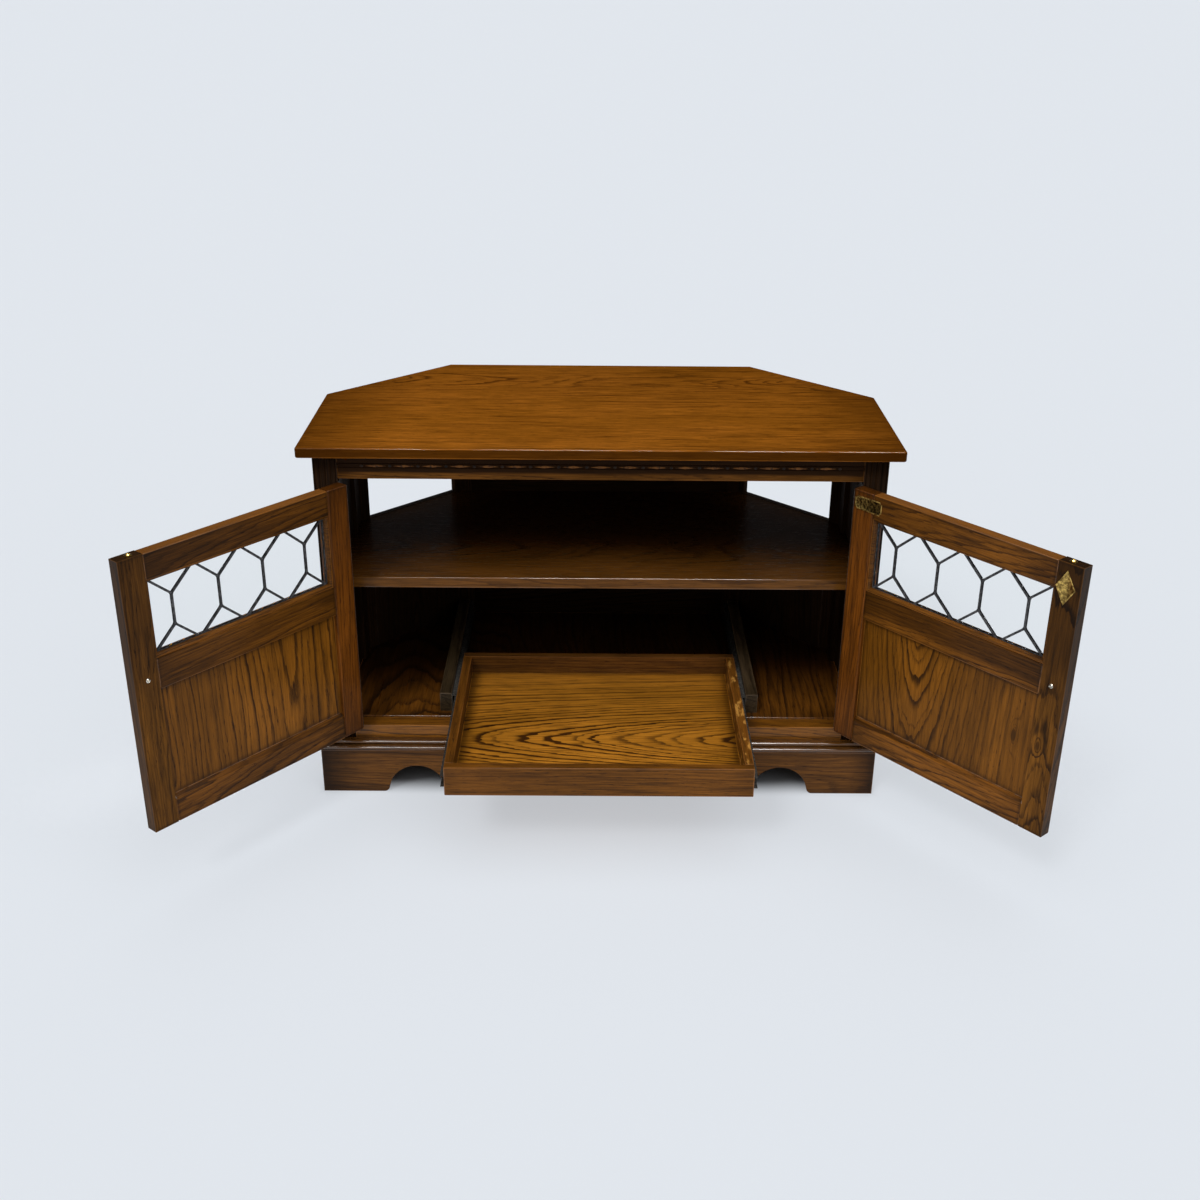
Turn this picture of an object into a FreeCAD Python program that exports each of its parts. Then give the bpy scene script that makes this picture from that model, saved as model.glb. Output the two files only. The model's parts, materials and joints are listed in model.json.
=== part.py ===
import FreeCAD, Part
import os
import math
import Sketcher

# Corner cabinet with two part-glazed doors and a pull-out tray, in millimetres.
# X runs along the front, Y to the back, Z up. The origin is on the floor under the middle of the
# front, in the plane of the carcase front. The doors stand open and the tray is pulled out.

# Driving sizes, one name each
SIZES = [
    # carcase outline
    ("carcase_width", 954),
    ("side_depth", 295.5),
    ("carcase_depth", 483),
    ("carcase_height", 551),
    ("plinth_height", 86),
    # top board
    ("front_overhang", 23),
    ("back_overhang", 6),
    ("top_thickness", 18),
    ("top_corner_round", 5),
    ("top_upper_round", 3.5),
    ("top_lower_round", 2.5),
    # front posts
    ("post_width", 40),
    ("post_depth", 40),
    ("reed_pitch", 9),
    ("reed_rise", 2.5),
    # frieze rail
    ("frieze_height", 43),
    ("frieze_thickness", 22),
    ("frieze_set_back", 1.5),
    ("groove_drop", 15),
    ("groove_width", 2),
    ("channel_drop", 18),
    ("channel_width", 6),
    ("channel_depth", 1.6),
    # base rail, floor and shelf
    ("base_rail_height", 40),
    ("base_rail_depth", 30),
    ("floor_rise", 43),
    ("floor_thickness", 18),
    ("floor_round", 3),
    ("shelf_rise", 314),
    ("shelf_thickness", 19),
    ("shelf_set_back", 37),
    ("shelf_round", 2),
    ("shelf_gap", 1.5),
    ("housing_depth", 4),
    ("housing_fit", 0.2),
    # sides and back
    ("side_board_thickness", 15),
    ("back_board_thickness", 12),
    ("rear_post_side_leg", 40.5),
    ("rear_post_thickness", 22),
    ("rear_post_back_leg", 41),
    ("back_post_diagonal_leg", 13),
    ("back_post_back_leg", 30),
    ("diagonal_board_height", 315),
    # base moulding and plinth
    ("bead_height", 7.5),
    ("lower_bead_reach", 22),
    ("upper_bead_reach", 13.5),
    ("plinth_projection", 21),
    ("plinth_thickness", 30),
    ("arch_offset", 328),
    ("arch_crown", 54),
    ("arch_radius", 51),
    ("arch_foot", 61),
    # hinges
    ("pin_gap", 2),
    ("pin_front", 1),
    ("pin_radius", 1),
    ("pin_fit", 0.05),
    ("knuckle_radius", 2),
    ("knuckle_play", 0.3),
    ("leaf_thickness", 0.8),
    ("leaf_width", 18.7),
    ("hinge_end_gap", 2.5),
    # doors
    ("door_angle", 130),
    ("door_edge_gap", 1.6),
    ("door_face_offset", 2),
    ("door_thickness", 21),
    ("door_bottom_gap", 2.5),
    ("door_top_gap", 3.5),
    ("meeting_gap", 3),
    ("stile_width", 42.4),
    ("top_rail_height", 42),
    ("light_height", 130.5),
    ("mid_rail_height", 51),
    ("bottom_rail_height", 47.5),
    ("bottom_bevel", 7),
    ("lip_width", 6),
    ("lip_thickness", 7.4),
    ("panel_thickness", 7),
    ("panel_depth", 7),
    # leaded light
    ("came_width", 3.8),
    ("came_thickness", 3.6),
    ("came_face", 0.7),
    ("came_rim", 1.2),
    ("came_border_show", 1.5),
    ("lattice_pitch", 84.9),
    ("upright_length", 50.8),
    ("peak_rise", 37.9),
    ("glazing_bead_width", 6),
    ("glazing_bead_depth", 7),
    ("glazing_bead_round", 4),
    # handles and catches
    ("handle_inset", 23.5),
    ("handle_rise", 267.5),
    ("plate_radius", 14),
    ("plate_drop", 7),
    ("plate_thickness", 2),
    ("pivot_reach", 7),
    ("pivot_radius", 1.5),
    ("lug_width", 6),
    ("lug_reach", 3),
    ("lug_half_height", 4),
    ("fork_play", 0.4),
    ("cheek_width", 2),
    ("fork_thickness", 4.4),
    ("fork_top", 2.5),
    ("fork_slot_drop", 7),
    ("fork_drop", 11),
    ("neck_radius", 1.8),
    ("neck_drop", 18),
    ("drop_radius", 5),
    ("drop_length", 38),
    ("drop_taper", 13),
    ("drop_tip_bevel", 2.4),
    ("catch_inset", 25.5),
    ("catch_radius", 4),
    ("catch_fit", 0.05),
    ("catch_stand", 3.2),
    ("catch_length", 13.7),
    ("catch_nose_bevel", 1.6),
    ("catch_bore_depth", 16),
    # runners, slides and tray
    ("tray_out", 286),
    ("tray_width", 508),
    ("tray_depth", 413),
    ("tray_height", 53),
    ("tray_wall", 15),
    ("tray_set_back", 47),
    ("tray_clearance", 2),
    ("tray_bottom_rise", 11),
    ("tray_bottom_thickness", 8),
    ("slide_space", 13),
    ("runner_width", 22),
    ("runner_height", 37),
    ("runner_back_gap", 9.5),
    ("slide_rise", 9),
    ("slide_height", 22),
    ("slide_metal", 1.2),
    ("slide_play", 0.4),
    ("channel_reach", 9),
    ("member_reach", 8),
    ("member_back_gap", 3),
    # cutting allowance past a face
    ("overrun", 20),
]

# Counts
REEDS = 4
UPRIGHTS = 4
POST_KNUCKLES = 4
DOOR_KNUCKLES = 5
BAR_SIDES = 12

# Two places closer than this are one, and a cut that leaves more than this share cuts nothing
SAME_PLACE = 0.01
UNCUT_SHARE = 0.99999

doc = FreeCAD.newDocument("corner_cabinet")
sheet = doc.addObject("Spreadsheet::Sheet", "sizes")
for row, (name, value) in enumerate(SIZES, 1):
    sheet.set("A%d" % row, name)
    sheet.set("B%d" % row, str(value))
    sheet.setAlias("B%d" % row, name)
doc.recompute()

pieces = []
cuts = []


class Size:
    """A number together with the sheet expression that gives it."""

    def __init__(self, number, text):
        self.number = number
        self.text = text

    def __add__(self, other):
        return joined(self, "+", other, self.number + as_size(other).number)

    def __sub__(self, other):
        return joined(self, "-", other, self.number - as_size(other).number)

    def __mul__(self, other):
        return joined(self, "*", other, self.number * as_size(other).number)

    def __truediv__(self, other):
        return joined(self, "/", other, self.number / as_size(other).number)

    def __neg__(self):
        return Size(-self.number, "(0 - %s)" % self.text)


def as_size(value):
    return value if isinstance(value, Size) else Size(value, str(value))


def joined(first, sign, second, number):
    return Size(number, "(%s %s %s)" % (first.text, sign, as_size(second).text))


def root(size):
    return Size(math.sqrt(size.number), "sqrt(%s)" % size.text)


def least(first, second):
    return Size(min(first.number, second.number), "min(%s; %s)" % (first.text, second.text))


def dim(name):
    return Size(float(sheet.get(name)), "sizes.%s" % name)


ZERO = Size(0, "0")
ROOT_TWO = Size(math.sqrt(2), "sqrt(2)")


# Sketch and feature helpers

def new_body(label):
    body = doc.addObject("PartDesign::Body", label)
    body.Label = label
    pieces.append(body)
    return body


def new_sketch(body, role, offset=ZERO, shift=(ZERO, ZERO)):
    """Sketch on an origin plane, moved along its normal by offset and in its plane by shift."""
    plane = [part for part in body.Origin.OriginFeatures if part.Role == role][0]
    sketch = body.newObject("Sketcher::SketchObject", body.Name + "_sketch")
    sketch.AttachmentSupport = [(plane, "")]
    sketch.MapMode = "FlatFace"
    sketch.setExpression("AttachmentOffset.Base.x", shift[0].text)
    sketch.setExpression("AttachmentOffset.Base.y", shift[1].text)
    sketch.setExpression("AttachmentOffset.Base.z", offset.text)
    return sketch


def fix_coordinate(sketch, kind, geometry, point, size):
    """Holds one coordinate of a sketch point at a size."""
    size = as_size(size)
    index = sketch.addConstraint(Sketcher.Constraint(kind, -1, 1, geometry, point, size.number))
    sketch.setExpression("Constraints[%d]" % index, size.text)


def outline(sketch, corners):
    """Closed outline. A corner is (x, y), or (x, y, centre, turn) at the end of an arc."""
    corners = [(as_size(c[0]), as_size(c[1])) + tuple(c[2:]) for c in corners]
    ends = []
    for index, corner in enumerate(corners):
        before = corners[index - 1]
        start = FreeCAD.Vector(before[0].number, before[1].number, 0)
        end = FreeCAD.Vector(corner[0].number, corner[1].number, 0)
        if len(corner) == 2:
            ends.append((sketch.addGeometry(Part.LineSegment(start, end)), 1, 2))
            continue
        middle = FreeCAD.Vector(as_size(corner[2][0]).number, as_size(corner[2][1]).number, 0)
        circle = Part.Circle(middle, FreeCAD.Vector(0, 0, 1), (start - middle).Length)
        first, last = (start, end) if corner[3] > 0 else (end, start)
        arc = Part.ArcOfCircle(circle, circle.parameter(first), circle.parameter(last))
        ends.append((sketch.addGeometry(arc),) + ((1, 2) if corner[3] > 0 else (2, 1)))
    for index, corner in enumerate(corners):
        geometry, head, tail = ends[index]
        sketch.addConstraint(
            Sketcher.Constraint("Coincident", ends[index - 1][0], ends[index - 1][2], geometry, head))
        if len(corner) == 2:
            fix_coordinate(sketch, "DistanceX", geometry, tail, corner[0])
            fix_coordinate(sketch, "DistanceY", geometry, tail, corner[1])
            continue
        centre = corner[2]
        fix_coordinate(sketch, "DistanceX", geometry, 3, centre[0])
        fix_coordinate(sketch, "DistanceY", geometry, 3, centre[1])
        across = abs(corner[0].number - as_size(centre[0]).number)
        along = abs(corner[1].number - as_size(centre[1]).number)
        if across <= along:
            fix_coordinate(sketch, "DistanceX", geometry, tail, corner[0])
        else:
            fix_coordinate(sketch, "DistanceY", geometry, tail, corner[1])


def rectangle(sketch, across, up):
    outline(sketch, [(across[0], up[0]), (across[1], up[0]), (across[1], up[1]), (across[0], up[1])])


def disc(sketch, x, y, radius):
    place = FreeCAD.Vector(as_size(x).number, as_size(y).number, 0)
    index = sketch.addGeometry(Part.Circle(place, FreeCAD.Vector(0, 0, 1), radius.number))
    fix_coordinate(sketch, "DistanceX", index, 3, x)
    fix_coordinate(sketch, "DistanceY", index, 3, y)
    hold = sketch.addConstraint(Sketcher.Constraint("Radius", index, radius.number))
    sketch.setExpression("Constraints[%d]" % hold, radius.text)


def ring(sketch, radius, sides):
    """Regular outline of many flats about the sketch origin."""
    turns = [(number + 0.5) * 2 * math.pi / sides for number in range(sides)]
    outline(sketch, [(radius * math.cos(turn), radius * math.sin(turn)) for turn in turns])


def pad(body, sketch, length):
    feature = body.newObject("PartDesign::Pad", body.Name + "_pad")
    feature.Profile = sketch
    feature.setExpression("Length", length.text)
    return feature


def pocket(body, sketch, length):
    """Cut that runs against the sketch normal."""
    feature = body.newObject("PartDesign::Pocket", body.Name + "_pocket")
    feature.Profile = sketch
    feature.setExpression("Length", length.text)
    cuts.append(feature)
    return feature


def block(body, xs, ys, zs):
    sketch = new_sketch(body, "XY_Plane", zs[0])
    rectangle(sketch, xs, ys)
    return pad(body, sketch, zs[1] - zs[0])


def plank(label, xs, ys, zs):
    body = new_body(label)
    block(body, xs, ys, zs)
    return body


def prism(label, corners, zs):
    """Upright board with a flat outline."""
    body = new_body(label)
    sketch = new_sketch(body, "XY_Plane", zs[0])
    outline(sketch, corners)
    pad(body, sketch, zs[1] - zs[0])
    return body


def cross_section(label, corners, ys):
    """Bar along Y from its section in X and Z."""
    body = new_body(label)
    sketch = new_sketch(body, "XZ_Plane", -ys[1])
    outline(sketch, corners)
    pad(body, sketch, ys[1] - ys[0])
    return body


def repeat(body, originals, axis_role, length, count):
    pattern = body.newObject("PartDesign::LinearPattern", body.Name + "_pattern")
    pattern.Originals = originals
    axis = [part for part in body.Origin.OriginFeatures if part.Role == axis_role][0]
    pattern.Direction = (axis, [""])
    pattern.setExpression("Length", length.text)
    pattern.Occurrences = count
    body.Tip = pattern
    return pattern


def chosen_edges(feature, wanted):
    return ["Edge%d" % (number + 1) for number, edge in enumerate(feature.Shape.Edges)
            if wanted(edge.CenterOfMass)]


def round_edges(body, radius, wanted):
    """Fillet on the tip's edges whose middle passes the test."""
    doc.recompute()
    base = body.Tip
    feature = body.newObject("PartDesign::Fillet", body.Name + "_fillet")
    feature.Base = (base, chosen_edges(base, wanted))
    feature.setExpression("Radius", radius.text)
    return feature


def bevel_edges(body, down, inward, wanted):
    """Chamfer on the tip's edges whose middle passes the test."""
    doc.recompute()
    base = body.Tip
    feature = body.newObject("PartDesign::Chamfer", body.Name + "_chamfer")
    feature.Base = (base, chosen_edges(base, wanted))
    feature.ChamferType = "Two distances"
    feature.setExpression("Size", down.text)
    feature.setExpression("Size2", inward.text)
    return feature


def bar(body, centre, radius, zs):
    """Upright bar with many flats."""
    sketch = new_sketch(body, "XY_Plane", zs[0], centre)
    ring(sketch, radius, BAR_SIDES)
    return pad(body, sketch, zs[1] - zs[0])


def near(value, size):
    return abs(value - size.number) < SAME_PLACE


def place(body, x, y, turn=ZERO):
    body.setExpression("Placement.Base.x", x.text)
    body.setExpression("Placement.Base.y", y.text)
    body.setExpression("Placement.Rotation.Angle", turn.text)


# Levels and plan lines shared by the pieces
plinth_top = dim("plinth_height")
carcase_top = plinth_top + dim("carcase_height")
front_half = dim("carcase_width") / 2
side_depth = dim("side_depth")
carcase_depth = dim("carcase_depth")
back_half = front_half + side_depth - carcase_depth
outer_diagonal = front_half + side_depth
inner_diagonal = outer_diagonal - dim("back_board_thickness") * ROOT_TWO
back_inner = carcase_depth - dim("back_board_thickness")
post_inner = front_half - dim("post_width")
side_inner = front_half - dim("side_board_thickness")
post_depth = dim("post_depth")
rear_post_front = side_depth - dim("rear_post_side_leg")
rear_post_inner = front_half - dim("rear_post_thickness")
carcase_span = (plinth_top, carcase_top)
floor_top = plinth_top + dim("floor_rise")
base_rail_top = plinth_top + dim("base_rail_height")
frieze_bottom = carcase_top - dim("frieze_height")
sides = ((1, "right"), (-1, "left"))


def both_ways(corners):
    """Outline mirrored about the middle of the front."""
    return corners + [(-corner[0], corner[1]) for corner in reversed(corners)]


# Top board: one slab with rounded front corners and a rounded nosing along the front and sides
top_half = front_half + dim("front_overhang")
top_front = -dim("front_overhang")
top_back = carcase_depth + dim("back_overhang")
top_diagonal = outer_diagonal + dim("back_overhang") * ROOT_TWO
top_face = carcase_top + dim("top_thickness")


def front_and_sides(point):
    return point.y < side_depth.number - dim("front_overhang").number


top_board = prism("top_board", both_ways([
    (top_half, top_front),
    (top_half, top_diagonal - top_half),
    (top_diagonal - top_back, top_back),
]), (carcase_top, top_face))
round_edges(top_board, dim("top_corner_round"), lambda p: near(p.y, top_front) and near(abs(p.x), top_half))
round_edges(top_board, dim("top_upper_round"), lambda p: front_and_sides(p) and near(p.z, top_face))
round_edges(top_board, dim("top_lower_round"), lambda p: front_and_sides(p) and near(p.z, carcase_top))

# Front posts with upright reeds
reed_half = dim("reed_pitch") / 2
reed_centre = (reed_half * reed_half + dim("reed_rise") * dim("reed_rise")) / (dim("reed_rise") * 2)
reed_margin = (dim("post_width") - dim("reed_pitch") * REEDS) / 2
for side, word in sides:
    corners = [(post_inner * side, ZERO), ((post_inner + reed_margin) * side, ZERO),
               ((post_inner + reed_margin) * side, dim("reed_rise"))]
    for reed in range(REEDS):
        reed_start = post_inner + reed_margin + dim("reed_pitch") * reed
        middle = ((reed_start + reed_half) * side, reed_centre)
        corners.append(((reed_start + dim("reed_pitch")) * side, dim("reed_rise"), middle, side))
    corners += [((front_half - reed_margin) * side, ZERO), (front_half * side, ZERO),
                (front_half * side, post_depth), (post_inner * side, post_depth)]
    prism(word + "_front_post", corners, carcase_span)

# Frieze rail with its groove and the sunk channel for the ornament
frieze_face = dim("frieze_set_back")
frieze_floor = frieze_face + dim("channel_depth")
groove_top = carcase_top - dim("groove_drop")
channel_top = carcase_top - dim("channel_drop")
frieze = new_body("frieze_rail")
sketch = new_sketch(frieze, "YZ_Plane", -post_inner)
outline(sketch, [
    (frieze_face, frieze_bottom),
    (frieze_face + dim("frieze_thickness"), frieze_bottom),
    (frieze_face + dim("frieze_thickness"), carcase_top),
    (frieze_face, carcase_top),
    (frieze_face, groove_top),
    (frieze_floor, groove_top),
    (frieze_floor, groove_top - dim("groove_width")),
    (frieze_face, groove_top - dim("groove_width")),
    (frieze_face, channel_top),
    (frieze_floor, channel_top),
    (frieze_floor, channel_top - dim("channel_width")),
    (frieze_face, channel_top - dim("channel_width")),
])
pad(frieze, sketch, post_inner * 2)

# Base rail and floor board
base_rail_depth = dim("base_rail_depth")
plank("base_rail", (-post_inner, post_inner), (ZERO, base_rail_depth), (plinth_top, base_rail_top))
floor_board = prism("floor_board", both_ways([
    (post_inner, base_rail_depth),
    (post_inner, post_depth),
    (side_inner, post_depth),
    (side_inner, rear_post_front),
    (rear_post_inner, rear_post_front),
    (rear_post_inner, inner_diagonal - rear_post_inner),
    (inner_diagonal - back_inner, back_inner),
]), (floor_top - dim("floor_thickness"), floor_top))
round_edges(floor_board, dim("floor_round"), lambda p: near(p.y, base_rail_depth) and near(p.z, floor_top))

# Shelf, housed in the side boards
shelf_top = plinth_top + dim("shelf_rise")
shelf_bottom = shelf_top - dim("shelf_thickness")
shelf_diagonal = inner_diagonal - dim("shelf_gap") * ROOT_TWO
housing_half = side_inner + dim("housing_depth")
shelf_front = dim("shelf_set_back")
shelf = prism("shelf", both_ways([
    (post_inner, shelf_front),
    (post_inner, post_depth),
    (housing_half, post_depth),
    (housing_half, rear_post_front),
    (rear_post_inner, rear_post_front),
    (rear_post_inner, shelf_diagonal - rear_post_inner),
    (shelf_diagonal - back_inner, back_inner),
]), (shelf_bottom, shelf_top))
round_edges(shelf, dim("shelf_round"), lambda p: near(p.y, shelf_front) and near(p.z, shelf_top))

# Side boards, rear and back posts, diagonal and back boards
rear_leg = dim("rear_post_back_leg") / ROOT_TWO
back_leg = dim("back_post_diagonal_leg") / ROOT_TWO
board_step = dim("back_board_thickness") / ROOT_TWO
rear_post_end = (front_half - rear_leg, side_depth + rear_leg)
back_post_end = (back_half + back_leg, carcase_depth - back_leg)
back_post_inner = back_half - dim("back_post_back_leg")


def mirrored(corners, side):
    return [(corner[0] * side, corner[1]) for corner in corners]


for side, word in sides:
    side_board = plank(word + "_side_board", (side_inner * side, front_half * side),
                       (post_depth, rear_post_front), carcase_span)
    sketch = new_sketch(side_board, "XY_Plane", shelf_top + dim("housing_fit"))
    rectangle(sketch, (side_inner * side, housing_half * side), (post_depth, rear_post_front))
    pocket(side_board, sketch, dim("shelf_thickness") + dim("housing_fit") * 2)
    prism(word + "_rear_post", mirrored([
        (front_half, rear_post_front),
        (front_half, side_depth),
        rear_post_end,
        (rear_post_end[0] - board_step, rear_post_end[1] - board_step),
        (rear_post_inner, inner_diagonal - rear_post_inner),
        (rear_post_inner, rear_post_front),
    ], side), carcase_span)
    prism(word + "_back_post", mirrored([
        (back_half, carcase_depth),
        back_post_end,
        (back_post_end[0] - board_step, back_post_end[1] - board_step),
        (inner_diagonal - back_inner, back_inner),
        (back_post_inner, back_inner),
        (back_post_inner, carcase_depth),
    ], side), carcase_span)
    prism(word + "_diagonal_board", mirrored([
        rear_post_end,
        back_post_end,
        (back_post_end[0] - board_step, back_post_end[1] - board_step),
        (rear_post_end[0] - board_step, rear_post_end[1] - board_step),
    ], side), (plinth_top, plinth_top + dim("diagonal_board_height")))
plank("centre_back", (-back_post_inner, back_post_inner), (back_inner, carcase_depth), carcase_span)

# Base moulding: two beads swept round the front and both sides with mitred corners
moulding_end = side_depth - dim("lower_bead_reach")
bead_radius = dim("bead_height") / 2
moulding = new_body("base_moulding")
path = new_sketch(moulding, "XY_Plane", plinth_top)
path_points = [(-front_half, moulding_end), (-front_half, ZERO), (front_half, ZERO), (front_half, moulding_end)]
for index in range(3):
    start, end = path_points[index], path_points[index + 1]
    path.addGeometry(Part.LineSegment(FreeCAD.Vector(start[0].number, start[1].number, 0),
                                      FreeCAD.Vector(end[0].number, end[1].number, 0)))
    if index:
        path.addConstraint(Sketcher.Constraint("Coincident", index - 1, 2, index, 1))
    else:
        fix_coordinate(path, "DistanceX", 0, 1, start[0])
        fix_coordinate(path, "DistanceY", 0, 1, start[1])
    fix_coordinate(path, "DistanceX", index, 2, end[0])
    fix_coordinate(path, "DistanceY", index, 2, end[1])
section = new_sketch(moulding, "XZ_Plane", -moulding_end)
lower_bead = -(front_half + dim("lower_bead_reach") - bead_radius)
upper_bead = -(front_half + dim("upper_bead_reach") - bead_radius)
quirk_level = plinth_top + dim("bead_height")
moulding_top = quirk_level + dim("bead_height")
outline(section, [
    (-front_half, moulding_top),
    (-front_half, plinth_top),
    (lower_bead, plinth_top),
    (lower_bead, quirk_level, (lower_bead, plinth_top + bead_radius), -1),
    (upper_bead, quirk_level),
    (upper_bead, moulding_top, (upper_bead, quirk_level + bead_radius), -1),
])
doc.recompute()
sweep = moulding.newObject("PartDesign::AdditivePipe", "base_moulding_sweep")
sweep.Profile = section
sweep.Spine = (path, ["Edge1", "Edge2", "Edge3"])
sweep.Transition = "Right corner"

# Plinth: front board with two ogee-footed arches, side boards and a board at the back
plinth_half = front_half + dim("plinth_projection")
plinth_front = -dim("plinth_projection")
plinth_inner = plinth_front + dim("plinth_thickness")
arch_rise = dim("arch_crown") - dim("arch_radius")
flare = ((dim("arch_foot") * dim("arch_foot") + arch_rise * arch_rise - dim("arch_radius") * dim("arch_radius"))
         / (dim("arch_crown") * 2))
arch_share = dim("arch_radius") / (dim("arch_radius") + flare)
turn_x = dim("arch_foot") * arch_share
turn_z = arch_rise + (flare - arch_rise) * arch_share
corners = [(-plinth_half, ZERO)]
for side in (-1, 1):
    centre = dim("arch_offset") * side
    corners += [
        (centre - dim("arch_foot"), ZERO),
        (centre - turn_x, turn_z, (centre - dim("arch_foot"), flare), 1),
        (centre + turn_x, turn_z, (centre, arch_rise), -1),
        (centre + dim("arch_foot"), ZERO, (centre + dim("arch_foot"), flare), 1),
    ]
corners += [(plinth_half, ZERO), (plinth_half, plinth_top), (-plinth_half, plinth_top)]
cross_section("front_plinth", corners, (plinth_front, plinth_inner))
for side, word in sides:
    plank(word + "_plinth", ((plinth_half - dim("plinth_thickness")) * side, plinth_half * side),
          (plinth_inner, moulding_end), (ZERO, plinth_top))
plank("back_plinth", (-back_half, back_half), (carcase_depth - dim("plinth_thickness"), carcase_depth),
      (ZERO, plinth_top))

# Runners and the fixed slide channels
tray_half = dim("tray_width") / 2
tray_front = dim("tray_set_back")
runner_inner = tray_half + dim("slide_space")
runner_outer = runner_inner + dim("runner_width")
runner_back = least(back_inner, inner_diagonal - runner_outer) - dim("runner_back_gap")
slide_bottom = floor_top + dim("slide_rise")
slide_top = slide_bottom + dim("slide_height")
metal = dim("slide_metal")
for side, word in sides:
    plank(word + "_runner", (runner_inner * side, runner_outer * side), (tray_front, runner_back),
          (floor_top, floor_top + dim("runner_height")))
    mouth = (runner_inner - dim("channel_reach")) * side
    web = (runner_inner - metal) * side
    cross_section(word + "_slide_channel", [
        (runner_inner * side, slide_bottom - metal),
        (runner_inner * side, slide_top + metal),
        (mouth, slide_top + metal),
        (mouth, slide_top),
        (web, slide_top),
        (web, slide_bottom),
        (mouth, slide_bottom),
        (mouth, slide_bottom - metal),
    ], (tray_front, runner_back))

# Tray, drawn pushed in and then moved forward
tray_bottom = floor_top + dim("tray_clearance")
tray_top = tray_bottom + dim("tray_height")
tray_back = tray_front + dim("tray_depth")
wall_front = tray_front + dim("tray_wall")
wall_back = tray_back - dim("tray_wall")
tray_inner = tray_half - dim("tray_wall")
tray_rise = (tray_bottom, tray_top)
panel_bottom = tray_bottom + dim("tray_bottom_rise")
tray = [
    plank("tray_front", (-tray_half, tray_half), (tray_front, wall_front), tray_rise),
    plank("tray_back", (-tray_half, tray_half), (wall_back, tray_back), tray_rise),
    plank("tray_bottom", (-tray_inner, tray_inner), (wall_front, wall_back),
          (panel_bottom, panel_bottom + dim("tray_bottom_thickness"))),
]
for side, word in sides:
    tray.append(plank("tray_%s_side" % word, (tray_inner * side, tray_half * side),
                      (wall_front, wall_back), tray_rise))
    lip = (tray_half + dim("member_reach")) * side
    web = (tray_half + metal) * side
    member_top = slide_top - dim("slide_play")
    tray.append(cross_section(word + "_slide_member", [
        (tray_half * side, slide_bottom),
        (lip, slide_bottom),
        (lip, slide_bottom + metal),
        (web, slide_bottom + metal),
        (web, member_top - metal),
        (lip, member_top - metal),
        (lip, member_top),
        (tray_half * side, member_top),
    ], (wall_front, tray_back - dim("member_back_gap"))))
for body in tray:
    place(body, ZERO, -dim("tray_out"))

# Door levels, and distances from the hinge pin
door_bottom = base_rail_top + dim("door_bottom_gap")
door_top = frieze_bottom - dim("door_top_gap")
pin_x = post_inner - dim("pin_gap")
pin_y = -dim("pin_front")
hinge_edge = dim("door_edge_gap")
free_edge = pin_x - dim("meeting_gap") / 2
light_near = hinge_edge + dim("stile_width")
light_far = free_edge - dim("stile_width")
light_top = door_top - dim("top_rail_height")
light_bottom = light_top - dim("light_height")
mid_rail_bottom = light_bottom - dim("mid_rail_height")
bottom_rail_top = door_bottom + dim("bottom_rail_height")
outer_face = dim("door_face_offset")
inner_face = outer_face + dim("door_thickness")
lip_back = outer_face + dim("lip_thickness")
came_back = lip_back + dim("came_thickness")
panel_face = outer_face + dim("panel_depth")
frame_depth = (outer_face, inner_face)
lip_depth = (outer_face, lip_back)
lip = dim("lip_width")


def hinge_leaf(label, side, near_x, count, first, bored):
    """Half of a full-height hinge; the leaf lies between near_x and one metal thickness further out."""
    slot = (door_top - door_bottom - dim("hinge_end_gap") * 2) / (POST_KNUCKLES + DOOR_KNUCKLES)
    low = door_bottom + dim("hinge_end_gap")
    high = door_top - dim("hinge_end_gap")
    leaf_start = dim("knuckle_radius") + dim("knuckle_play")
    xs = (near_x * side, (near_x + dim("leaf_thickness")) * side)
    body = new_body(label)
    block(body, xs, (leaf_start, leaf_start + dim("leaf_width")), (low, high))
    start = low + slot * first
    length = slot - dim("knuckle_play")
    web = block(body, xs, (ZERO, leaf_start), (start, start + length))
    sketch = new_sketch(body, "XY_Plane", start)
    ring(sketch, dim("knuckle_radius"), BAR_SIDES)
    knuckle = pad(body, sketch, length)
    repeat(body, [web, knuckle], "Z_Axis", slot * 2 * (count - 1), count)
    if bored:
        sketch = new_sketch(body, "XY_Plane", high)
        disc(sketch, ZERO, ZERO, dim("pin_radius") + dim("pin_fit"))
        pocket(body, sketch, high - low)
    else:
        sketch = new_sketch(body, "XY_Plane", low)
        disc(sketch, ZERO, ZERO, dim("pin_radius"))
        pad(body, sketch, high - low)
    return body


def light_frame(sketch, side, border):
    """Rectangular ring just inside the glazed opening."""
    rectangle(sketch, (light_near * -side, light_far * -side), (light_bottom, light_top))
    rectangle(sketch, ((light_near + border) * -side, (light_far - border) * -side),
              (light_bottom + border, light_top - border))


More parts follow.
